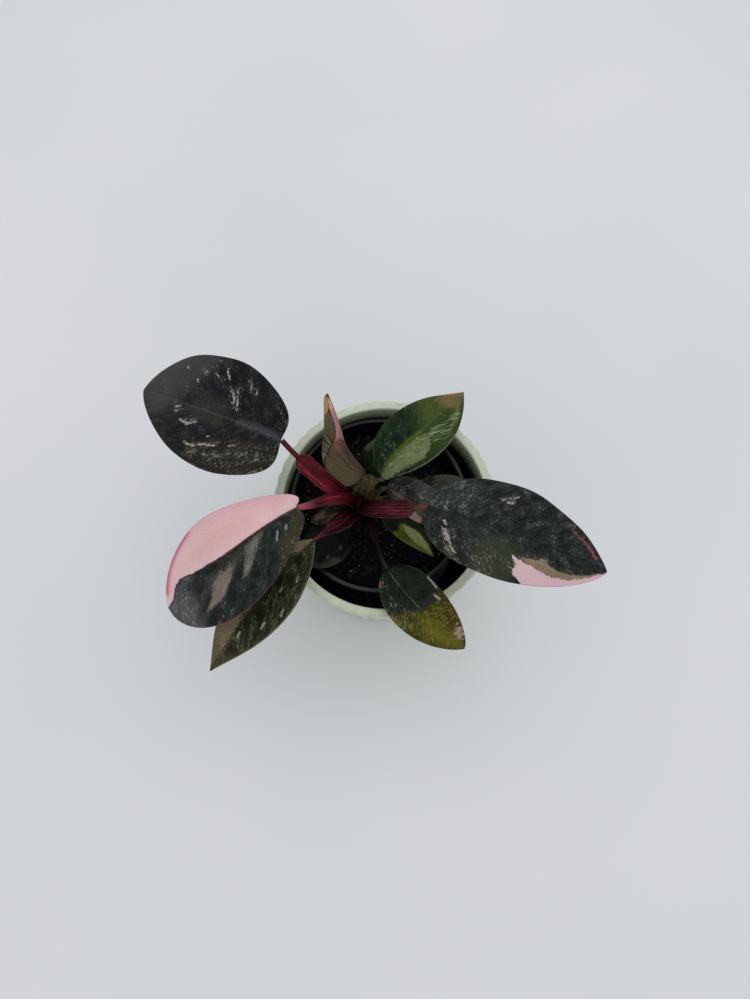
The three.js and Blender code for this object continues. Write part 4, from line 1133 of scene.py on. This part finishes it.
def make_stalk(number, leaf, finish, look):
    """A leaf stalk: a boat-shaped sheath with lengthwise ridges, then the bare round stalk."""
    piece, turn, share = roll_tube(96, 90)
    start = bezier(STEM_PATH, [stem_share_at(leaf["joint"])])[0]
    first = bezier_direction(leaf["rib"], [0.0])[0]
    end = bezier(leaf["rib"], [0.0])[0] - first * STALK_SHORT
    path = [start, *leaf["bends"], end]
    along = bezier_direction(path, share)
    side, up = across_and_up(along)
    bare = leaf["sheath"][4]
    width = stalk_width(leaf["sheath"], share)
    wing = np.clip((width - bare) / WING_OVER, 0, 1)
    thick = mix(bare, np.maximum(bare, width * WING_THICK), wing)
    angle = 2 * np.pi * turn
    across = np.cos(angle)
    over = np.sin(angle) > 0
    flat = np.where(over, 1 - WING_FLAT * wing, 1.0)
    many, deep = look["ridges"]
    bend = across + 0.05 * np.sin(9 * share + number)
    ridge = 0.6 * np.cos(2 * np.pi * (many * bend + 0.37 * number))
    ridge = deep * (ridge + 0.4 * np.cos(2 * np.pi * (1.7 * many * bend + 0.23)))
    ridge = ridge * wing * (1 - np.abs(across) ** 6)
    hollow = np.where(over, 0.45 * wing * (1 - across ** 2), 0.0)
    a = across * width / 2
    b = (np.sin(angle) * (flat * thick / 2 + RIDGE_HEIGHT * ridge) - hollow
         + WING_CURL * wing * width * (across ** 2 - 0.5))
    point = bezier(path, share) + side * a[:, None] + up * b[:, None]
    set_corners(piece, MM * point)
    length = np.linalg.norm(np.diff(bezier(path, np.linspace(0, 1, 50)), axis=0), axis=1).sum()
    set_uv(piece, "grain", a + np.where(over, 0, 20), share * length)
    note(piece, "ridge", ridge)
    until, over_which = leaf["sheath"][2:4]
    shoulder = np.exp(-((share - until - 0.4 * over_which) / 0.02) ** 2) * (over_which < SHORT_SHOULDER)
    note(piece, "wing_edge", np.maximum(np.abs(across) * wing, shoulder))
    # painted light: one side of the sheath is lightened, as if lit, and the rest left darker
    lit_at, lit_spread = look["painted_light"]
    note(piece, "painted_light", np.exp(-((across - lit_at) / lit_spread) ** 2) * np.where(over, wing, 0.3))
    note(piece, "along", share)
    close_tube()
    node = f"leaf_{number:02d}_stalk"
    finished(piece, node + "_fine", finish, look["slot"], node)


def stalk_finish(name, look):
    """Satin skin, pale edges; painted light on crests and one side; painted shade in grooves, at the stem."""
    material, tree, shader = new_finish(name)
    place = put(tree, "UVMap", uv_map="grain").outputs[0]
    dark, light = look["shades"]
    shades = clouded(tree, place, 0.35, 3.0, dark, light)
    streaks = streaks_at(tree, place, 0.5, 9.0, 1.0)
    broad = streaks_at(tree, place, 1.6, 16.0, 4.0)
    dots = streaks_at(tree, place, 0.4, 1.3, 6.0)
    ridge = attribute(tree, "ridge")
    painted_light = attribute(tree, "painted_light")
    share = attribute(tree, "along")
    paint = blend(tree, ramp(tree, broad, 0.36, 0.62), colour(dark), colour(light))
    paint = blend(tree, look["cloudy"], paint, shades["Colour"])
    # painted shade in the grooves between the ridges
    paint = shaded(tree, paint, ramp(tree, ridge, -0.9, 0.2, 0.55, 1.1))
    # painted light: lighter on the lit side, darker elsewhere
    paint = shaded(tree, paint, ramp(tree, painted_light, 0.0, 1.0, 0.75, 1.5))
    # painted highlight on the ridge crests, strongest on the side with painted light
    crest_highlight = times(tree, ramp(tree, ridge, 0.0, 0.5), ramp(tree, streaks, 0.4, 0.62))
    crest_highlight = times(tree, crest_highlight, ramp(tree, painted_light, 0.1, 1.0, 0.08, 0.85))
    paint = blend(tree, crest_highlight, paint, colour(look["crest_highlight"]))
    tone, amount = look["tip"]
    near_blade = times(tree, ramp(tree, share, 0.72, 0.95), amount)
    paint = blend(tree, near_blade, paint, colour(tone))
    edge = ramp(tree, attribute(tree, "wing_edge"), 0.9, 0.99, 0.0, 0.8)
    edge = times(tree, edge, ramp(tree, streaks, 0.34, 0.6))
    paint = blend(tree, edge, paint, colour(look["edge"]))
    spots = flecks_in(tree, dots, look.get("flecks", 0.66), noise_at(tree, place, 0.3))
    paint = blend(tree, times(tree, spots, 0.7), paint, colour(look["fleck"]))
    # painted shade: darker towards the stem, in the crown
    paint = blend(tree, ramp(tree, share, 0.06, 0.4, 0.92, 0.0), paint, colour(look["foot"]))
    height = sums(tree, "ADD", streaks, shades["Grain"])
    rough = look["rough"]
    feed(tree, shader, {"Base Color": paint, "Specular IOR Level": 0.16,
                        "Roughness": ramp(tree, shades["Grain"], *NOISE_SPAN, rough, rough + 0.14),
                        "Normal": fine_relief(tree, height, 0.4, 0.00015)})
    return material


def make_stem(finish):
    """The stem, with a swollen ring and a scar line at each leaf's joint, and a blunt bud on top."""
    piece, turn, share = roll_tube(48, 150)
    swell = np.zeros(share.shape)
    scar = np.zeros(share.shape)
    for leaf in LEAVES:
        at = stem_share_at(leaf["joint"] - JOINT_DROP)
        swell += np.exp(-((share - at) / STEM_NODE_LENGTH) ** 2)
        scar += np.exp(-((share - at - SCAR_ABOVE_RING) / SCAR_LENGTH) ** 2)
    scar = np.minimum(scar, 1)
    taper_from, taper_to = STEM_TAPER
    taper = mix(1, taper_to, np.clip(share - taper_from, 0, 1) / (1 - taper_from))
    bud = np.sqrt(1 - smooth(0.9, 1.0, share) * 0.97)
    radius = mix(*STEM_RADIUS, share) * (1 + STEM_NODE * np.minimum(swell, 1)) * taper * bud
    radius = radius - SCAR_DEPTH * scar * bud
    angle = 2 * np.pi * turn
    ring = np.stack([np.cos(angle), np.sin(angle), 0 * angle], 1) * radius[:, None]
    set_corners(piece, MM * (bezier(STEM_PATH, share) + ring))
    set_uv(piece, "grain", turn * 30, share * 68)
    note(piece, "ridge", -scar)
    # the stem gets no painted light, so its finish paints it in shade
    for name, value in (("wing_edge", 0.0), ("painted_light", 0.0), ("along", 0.3)):
        note(piece, name, np.full(share.shape, value))
    close_tube()
    finished(piece, "stem_fine", finish, "stem", "stem")


# ---------------------------------------------------------------- pots


def turned(profile, sides, middle=(0, 0)):
    """A body of revolution: a disc, extruded from ring to ring, closed by a last disc."""
    deselect()
    radius, height = profile[0]
    bpy.ops.mesh.primitive_circle_add(vertices=sides, radius=radius * MM, fill_type="NOTHING",
                                      location=(middle[0] * MM, middle[1] * MM, height * MM))
    bpy.ops.object.transform_apply()
    editing()
    bpy.ops.mesh.select_mode(type="EDGE")
    for (old, low), (new, high) in zip(profile, profile[1:]):
        bpy.ops.mesh.extrude_region_move(TRANSFORM_OT_translate={"value": (0, 0, (high - low) * MM)})
        bpy.ops.transform.resize(value=(new / old, new / old, 1),
                                 center_override=(middle[0] * MM, middle[1] * MM, high * MM))
    bpy.ops.mesh.edge_face_add()
    bpy.ops.mesh.select_all(action="DESELECT")
    bpy.ops.mesh.select_non_manifold()
    bpy.ops.mesh.edge_face_add()
    face_out()
    return done_editing()


def arc(middle, radius, first, last, steps):
    """Points of a round edge, angles in degrees from the way out."""
    turns = np.radians(np.linspace(first, last, steps))
    return [(middle[0] + radius * math.cos(a), middle[1] + radius * math.sin(a)) for a in turns]


def pot_outside(z):
    return mix(POT_FOOT_RADIUS, POT_RIM_RADIUS, z / POT_HEIGHT)


def make_glazed_pot():
    """Convex flutes with rounded feet run up to the scalloped rim; a foot ring underneath."""
    inside = POT_RIM_RADIUS - POT_WALL
    inside_foot = pot_outside(POT_FLOOR) - POT_WALL
    below_rim = POT_HEIGHT - POT_RIM_ROUND
    foot = pot_outside(POT_FOOT_ROUND) - POT_FOOT_ROUND
    round_out = POT_RIM_RADIUS - POT_RIM_ROUND
    round_in = inside + POT_RIM_ROUND
    profile = [(foot - 7, 1.4), (foot - 5.5, 1.2), (foot - 4.5, 0.2), (foot - 3.8, 0)]
    profile += arc((foot, POT_FOOT_ROUND), POT_FOOT_ROUND, -90, 0, 7)
    walls = [6, 7.5, 9, 10.5, 12, 14, 17, *range(24, int(below_rim), 8), below_rim - 1.5]
    profile += [(pot_outside(z), z) for z in walls]
    profile += arc((round_out, below_rim), POT_RIM_ROUND, 0, 90, 6)
    profile += [(mix(round_out, round_in, 0.5), POT_HEIGHT)]
    profile += arc((round_in, below_rim), POT_RIM_ROUND, 90, 180, 6)
    neck = POT_HEIGHT - POT_NECK
    profile += [(inside, POT_HEIGHT - 6), (inside, neck + 2), (inside - 0.3, neck),
                (mix(inside, inside_foot, 0.5), 50)]
    profile += arc((inside_foot - POT_FOOT_ROUND, POT_FLOOR + POT_FOOT_ROUND), POT_FOOT_ROUND, 0, -90, 6)
    piece = turned(profile, FLUTES * 8)
    points = corners(piece) / MM
    radius = np.hypot(points[:, 0], points[:, 1])
    angle = np.arctan2(points[:, 1], points[:, 0])
    lobe = np.abs(np.cos(FLUTES / 2 * angle))
    outer = smooth(inside + 0.3, POT_RIM_RADIUS - 0.6, radius + (POT_HEIGHT - points[:, 2]) * 0.058)
    outer = outer * (points[:, 2] > 1.4)
    foot_end = FLUTE_START - 2.5 + 4 * (1 - lobe)
    share = smooth(0, 4.5, points[:, 2] - foot_end) * outer
    groove = FLUTE_DEPTH * (1 - lobe) * share
    scale = (radius - groove) / np.maximum(radius, 1e-6)
    points[:, :2] *= scale[:, None]
    set_corners(piece, MM * points)
    note(piece, "groove", (1 - lobe) * share)
    rim = np.where(points[:, 2] > POT_HEIGHT - 3, smooth(POT_HEIGHT - 3, POT_HEIGHT, points[:, 2]), 0)
    note(piece, "rim", rim)
    # painted shade: the inside wall darkens downwards, towards the gap between the pots
    within = (radius < pot_outside(points[:, 2]) - POT_WALL / 2) & (points[:, 2] > POT_FLOOR - 1)
    note(piece, "depth", np.where(within, smooth(2, 26, POT_HEIGHT - points[:, 2]), 0))
    finished(piece, "outer_pot_fine", glaze_finish(), "glaze", "outer_pot")


def glaze_finish():
    """Sage-green glaze: pale on crests and rim, darker in the grooves, and painted shade down inside."""
    material, tree, shader = new_finish("sage_glaze")
    place = put(tree, "TexCoord").outputs["Object"]
    tone = clouded(tree, place, 26.0, 900.0, "#afbc9b", "#c3cdb2")
    paint = tone["Colour"]
    # the last of these paints the shade down inside the pot
    for part, amount, shade in (("groove", 0.75, "#93a47c"), ("rim", 0.5, "#dde3d2"),
                                ("depth", 0.97, "#0c100b")):
        paint = blend(tree, times(tree, attribute(tree, part), amount), paint, colour(shade))
    specks = flecks_in(tree, noise_at(tree, place, 420.0, 1.0), 0.7)
    paint = blend(tree, times(tree, specks, 0.25), paint, colour("#8f9a7a"))
    waves = noise_at(tree, place, 120.0, 3.0)
    feed(tree, shader, {"Base Color": paint, "Coat Weight": 0.35, "Coat Roughness": 0.12,
                        "Roughness": ramp(tree, tone["Grain"], *NOISE_SPAN, 0.22, 0.32),
                        "Normal": fine_relief(tree, waves, 0.15, 0.0002)})
    return material


def nursery_outside(z):
    top = NURSERY_LIP_RADIUS - NURSERY_LIP_WIDTH
    return mix(NURSERY_FOOT_RADIUS, top, (z - NURSERY_BASE) / (NURSERY_TOP - NURSERY_BASE))


def make_nursery_pot():
    """A thin tapered pot with a stepped, beaded lip and drain holes cut through its floor."""
    lip_foot = NURSERY_TOP - NURSERY_LIP_DEPTH
    floor = NURSERY_BASE + NURSERY_WALL
    inside_top = nursery_outside(NURSERY_TOP) - NURSERY_WALL
    profile = [(NURSERY_FOOT_RADIUS - 6, NURSERY_BASE)]
    profile += arc((NURSERY_FOOT_RADIUS - 0.9, NURSERY_BASE + 0.9), 0.9, -90, -10, 4)
    profile += [(nursery_outside(z), z) for z in (12, 30, 50, 70, 84)]
    profile += [(nursery_outside(lip_foot - 1), lip_foot - 1), (NURSERY_LIP_RADIUS - 1.0, lip_foot - 0.2),
                (NURSERY_LIP_RADIUS - 0.5, lip_foot + 0.3), (NURSERY_LIP_RADIUS - 0.4, NURSERY_TOP - 3)]
    profile += arc((NURSERY_LIP_RADIUS - LIP_BEAD, NURSERY_TOP - LIP_BEAD), LIP_BEAD, -10, 80, 6)
    profile += [(NURSERY_LIP_RADIUS - 1.6, NURSERY_TOP - 0.05)]
    profile += arc((inside_top + 0.8, NURSERY_TOP - 0.9), 0.8, 80, 170, 5)
    profile += [(nursery_outside(z) - NURSERY_WALL, z) for z in (96, 91, 80, 60, 40, 20, floor + 0.8)]
    profile += [(nursery_outside(floor) - NURSERY_WALL - 0.8, floor)]
    piece = turned(profile, 160, NURSERY_PLACE)
    cutters = []
    for index in range(DRAIN_HOLES):
        angle = 2 * math.pi * index / DRAIN_HOLES
        x = NURSERY_PLACE[0] + DRAIN_REACH * math.cos(angle)
        y = NURSERY_PLACE[1] + DRAIN_REACH * math.sin(angle)
        deselect()
        bpy.ops.mesh.primitive_cylinder_add(vertices=32, radius=DRAIN_RADIUS * MM, depth=6 * MM,
                                            location=(x * MM, y * MM, (NURSERY_BASE + 0.6) * MM))
        cutters.append(bpy.context.object)
    cutter = joined(cutters)
    choose(piece)
    cut = piece.modifiers.new("drain_holes", "BOOLEAN")
    cut.operation = "DIFFERENCE"
    cut.object = cutter
    bpy.ops.object.modifier_apply(modifier=cut.name)
    bpy.data.objects.remove(cutter)
    finished(piece, "nursery_pot_fine", plastic_finish(), "black_plastic", "nursery_pot")
    choose(piece)
    bpy.ops.object.shade_smooth_by_angle(angle=math.radians(40))


def plastic_finish():
    """Black moulded plastic, dusted with potting mix."""
    material, tree, shader = new_finish("black_plastic")
    place = put(tree, "TexCoord").outputs["Object"]
    tone = clouded(tree, place, 60.0, 1600.0, "#07090b", "#0f1215")
    dust = flecks_in(tree, noise_at(tree, place, 300.0, 4.0, 0.7), 0.6)
    paint = blend(tree, times(tree, dust, 0.5), tone["Colour"], colour("#2a2621"))
    feed(tree, shader, {"Base Color": paint, "Specular IOR Level": 0.32,
                        "Roughness": ramp(tree, dust, 0.0, 1.0, 0.34, 0.7),
                        "Normal": fine_relief(tree, tone["Grain"], 0.3, 0.0001)})
    return material


# ---------------------------------------------------------------- soil


def soil_height(x, y):
    bump = sum(share * np.sin(x * along_x + y * along_y + phase)
               for share, along_x, along_y, phase in SOIL_WAVES)
    return SOIL_TOP + SOIL_BUMP * bump


def make_soil():
    """The root ball: its top crumbled by noise of three sizes."""
    edge = nursery_outside(SOIL_TOP - SOIL_EDGE_FALL) - NURSERY_WALL - 0.3
    bottom = NURSERY_BASE + NURSERY_WALL + 0.3
    profile = [(nursery_outside(bottom) - NURSERY_WALL - 1.9, bottom),
               (nursery_outside(bottom) - NURSERY_WALL - 0.6, bottom + 2),
               (nursery_outside(60) - NURSERY_WALL - 0.3, 60),
               (edge, SOIL_TOP - 4)]
    profile += [(edge * share, SOIL_TOP) for share in np.linspace(1, 0.02, 64)]
    piece = turned(profile, 150, NURSERY_PLACE)
    points = corners(piece) / MM
    for index in np.nonzero(points[:, 2] > SOIL_TOP - 1)[0]:
        x, y = points[index, :2]
        share = math.hypot(x - NURSERY_PLACE[0], y - NURSERY_PLACE[1]) / edge
        spot = Vector((x, y, 0))
        crumb = (1.1 * noise.noise(spot * 0.22) + 0.8 * noise.noise(spot * 0.6)
                 + 0.5 * abs(noise.noise(spot * 1.5)))
        points[index, 2] = soil_height(x, y) - SOIL_EDGE_FALL * share ** 6 + crumb * (1 - share ** 20)
    set_corners(piece, MM * points)
    finished(piece, "soil_fine", soil_finish(), "soil", "soil")


def soil_finish():
    """Moist peat and bark, nearly black, with brown crumbs."""
    material, tree, shader = new_finish("potting_mix")
    place = put(tree, "TexCoord").outputs["Object"]
    tone = clouded(tree, place, 260.0, 1400.0, "#040505", "#0c0c0b")
    crumbs = flecks_in(tree, noise_at(tree, place, 640.0), 0.64)
    paint = blend(tree, times(tree, crumbs, 0.5), tone["Colour"], colour("#1e1a16"))
    lumps = noise_at(tree, place, 700.0, 5.0, 0.7)
    feed(tree, shader, {"Base Color": paint, "Specular IOR Level": 0.2,
                        "Roughness": ramp(tree, tone["Grain"], *NOISE_SPAN, 0.75, 1.0),
                        "Normal": fine_relief(tree, lumps, 0.9, 0.0008)})
    return material


def crumb_finish(name, dark, light, rough):
    """The finish of loose grains on the soil."""
    material, tree, shader = new_finish(name)
    place = put(tree, "TexCoord").outputs["Object"]
    tone = clouded(tree, place, 300.0, 1500.0, dark, light)
    feed(tree, shader, {"Base Color": tone["Colour"], "Roughness": rough,
                        "Normal": fine_relief(tree, tone["Grain"], 0.7, 0.0004)})
    return material


def grain_model(kind):
    """One grain, about 1 mm across, to be copied: a cut bark chip or a puffed perlite bead."""
    deselect()
    if kind == "chip":
        bpy.ops.mesh.primitive_cube_add(size=1)
        editing()
        bpy.ops.mesh.bevel(offset=0.16, segments=1, affect="EDGES")
        piece = done_editing()
        points = corners(piece) * (1.0, 0.55, 0.3)
    else:
        bpy.ops.mesh.primitive_ico_sphere_add(subdivisions=2, radius=0.5)
        piece = bpy.context.object
        points = corners(piece)
    for index, point in enumerate(points):
        points[index] = point * (1 + 0.3 * noise.noise(Vector(point) * 3 + Vector((7, 1, 3))))
    set_corners(piece, points)
    return piece


def scatter(name, model, sizes, places, finish, seed):
    """Copies of one grain, each with its own mesh, laid on the soil and joined into a piece."""
    draw = random.Random(seed)
    points = corners(model)
    copies = []
    for x, y, stretch in places:
        size = draw.uniform(*sizes) * stretch
        spin = draw.uniform(0, 2 * math.pi)
        tilt = draw.uniform(-0.5, 0.5)
        turn = np.array([[math.cos(spin), -math.sin(spin), 0],
                         [math.sin(spin), math.cos(spin), 0],
                         [0, 0, 1]])
        lean = np.array([[1, 0, 0],
                         [0, math.cos(tilt), -math.sin(tilt)],
                         [0, math.sin(tilt), math.cos(tilt)]])
        copy = model.copy()
        copy.data = model.data.copy()
        bpy.context.collection.objects.link(copy)
        seat = soil_height(x, y) + GRAIN_SHARE_OUT * size + GRAIN_LIFT
        set_corners(copy, MM * (points * size @ lean.T @ turn.T + (x, y, seat)))
        copies.append(copy)
    bpy.data.objects.remove(model)
    finished(joined(copies), name, finish, "soil")


def scatter_places(count, reach, seed):
    draw = random.Random(seed)
    found = []
    while len(found) < count:
        radius = reach * math.sqrt(draw.random())
        angle = draw.uniform(0, 2 * math.pi)
        x = NURSERY_PLACE[0] + radius * math.cos(angle)
        y = NURSERY_PLACE[1] + radius * math.sin(angle)
        if math.hypot(x - STEM_FOOT[0], y - STEM_FOOT[1]) > STEM_CLEARANCE:
            found.append((x, y, 1.0))
    return found


# perlite beads that lie where they catch the light: x, y, and size as a share of the usual
PERLITE_SEEN = [(-10.5, -47, 1.5), (-20, -34, 1.0), (-21.5, -42, 0.8), (-44, 10, 1.0), (-48, 4, 0.9),
                (-12, 38, 0.8), (4, -26, 0.9), (1, 20, 0.8), (6, -22, 0.7), (-33, 24, 0.8)]


# ---------------------------------------------------------------- stage


def make_stage():
    deselect()
    bpy.ops.mesh.primitive_plane_add(size=4)
    floor = bpy.context.object
    floor.name = "floor"
    material, tree, shader = new_finish("pale_table")
    place = put(tree, "TexCoord").outputs["Object"]
    clouds = ramp(tree, noise_at(tree, place, 3.0), *NOISE_SPAN)
    tone = blend(tree, clouds, colour("#e3e5e8"), colour("#e9eaec"))
    feed(tree, shader, {"Base Color": tone, "Roughness": 0.7, "Specular IOR Level": 0.1})
    floor.data.materials.append(material)


def make_lights():
    world = bpy.data.worlds.new("soft_room")
    bpy.context.scene.world = world
    world.use_nodes = True
    back = world.node_tree.nodes["Background"]
    back.inputs["Color"].default_value = (0.96, 0.975, 1.0, 1)
    back.inputs["Strength"].default_value = 0.7
    data = bpy.data.lights.new("window", "AREA")
    data.shape = "SQUARE"
    data.size = 2.4
    data.energy = 15.4
    lamp = bpy.data.objects.new("window", data)
    bpy.context.collection.objects.link(lamp)
    lamp.location = (0.25, 0.9, 2.6)
    way = Vector((0, 0, 0.1)) - lamp.location
    lamp.rotation_euler = way.to_track_quat("-Z", "Y").to_euler()


def make_camera():
    """Stands over the plant, a little to the front, tilted back by 13.37 degrees."""
    data = bpy.data.cameras.new("camera")
    focal_pixels, frame_height, sensor = 750, 999, 36
    data.sensor_width = sensor
    data.lens = sensor * focal_pixels / frame_height
    data.clip_start = 0.01
    camera = bpy.data.objects.new("camera", data)
    bpy.context.collection.objects.link(camera)
    camera.location = (-0.00556, -0.09513, 0.52754)
    camera.rotation_euler = (math.radians(13.37), 0, 0)
    bpy.context.scene.camera = camera


# ---------------------------------------------------------------- the whole plant

bpy.context.scene.view_settings.view_transform = "Standard"
make_camera()
make_lights()
make_stage()

vein_streaks_group()
ragged_area_group()
flecks_group()
grain_group()

make_glazed_pot()
make_nursery_pot()
make_soil()
# the bark chips' near-black is partly their own colour and partly painted shade of the pot's inside
bark = crumb_finish("bark", "#050505", "#0f0d0b", 0.85)
perlite = crumb_finish("perlite", "#5c5c58", "#94948f", 0.9)
rust = crumb_finish("rusty_bark", "#1c120a", "#38230f", 0.8)
scatter("bark_chips", grain_model("chip"), (1.2, 3.6), scatter_places(420, 46, 5), bark, 11)
scatter("rusty_chips", grain_model("chip"), (0.8, 2.0), scatter_places(20, 44, 8), rust, 12)
scatter("perlite_beads", grain_model("bead"), (0.5, 1.3), scatter_places(40, 46, 6) + PERLITE_SEEN,
        perlite, 13)

stem_skin = dict(shades=("#120407", "#260a10"), crest_highlight="#3c1c22", edge="#3c1c22", foot="#0c0304",
                 tip=("#200a0e", 0.3), fleck="#4c3430", rough=0.45, cloudy=1.0)
make_stem(stalk_finish("stem_skin", stem_skin))
skins = {number: stalk_finish(f"stalk_skin_{number}", look) for number, look in STALK_LOOKS.items()}
for leaf_number, leaf_data in enumerate(LEAVES, start=1):
    kind = leaf_number if leaf_number in STALK_LOOKS else 0
    make_stalk(leaf_number, leaf_data, skins[kind], STALK_LOOKS[kind])
    make_blade(leaf_number, leaf_data, LOOKS[leaf_number - 1])

bpy.context.view_layer.update()
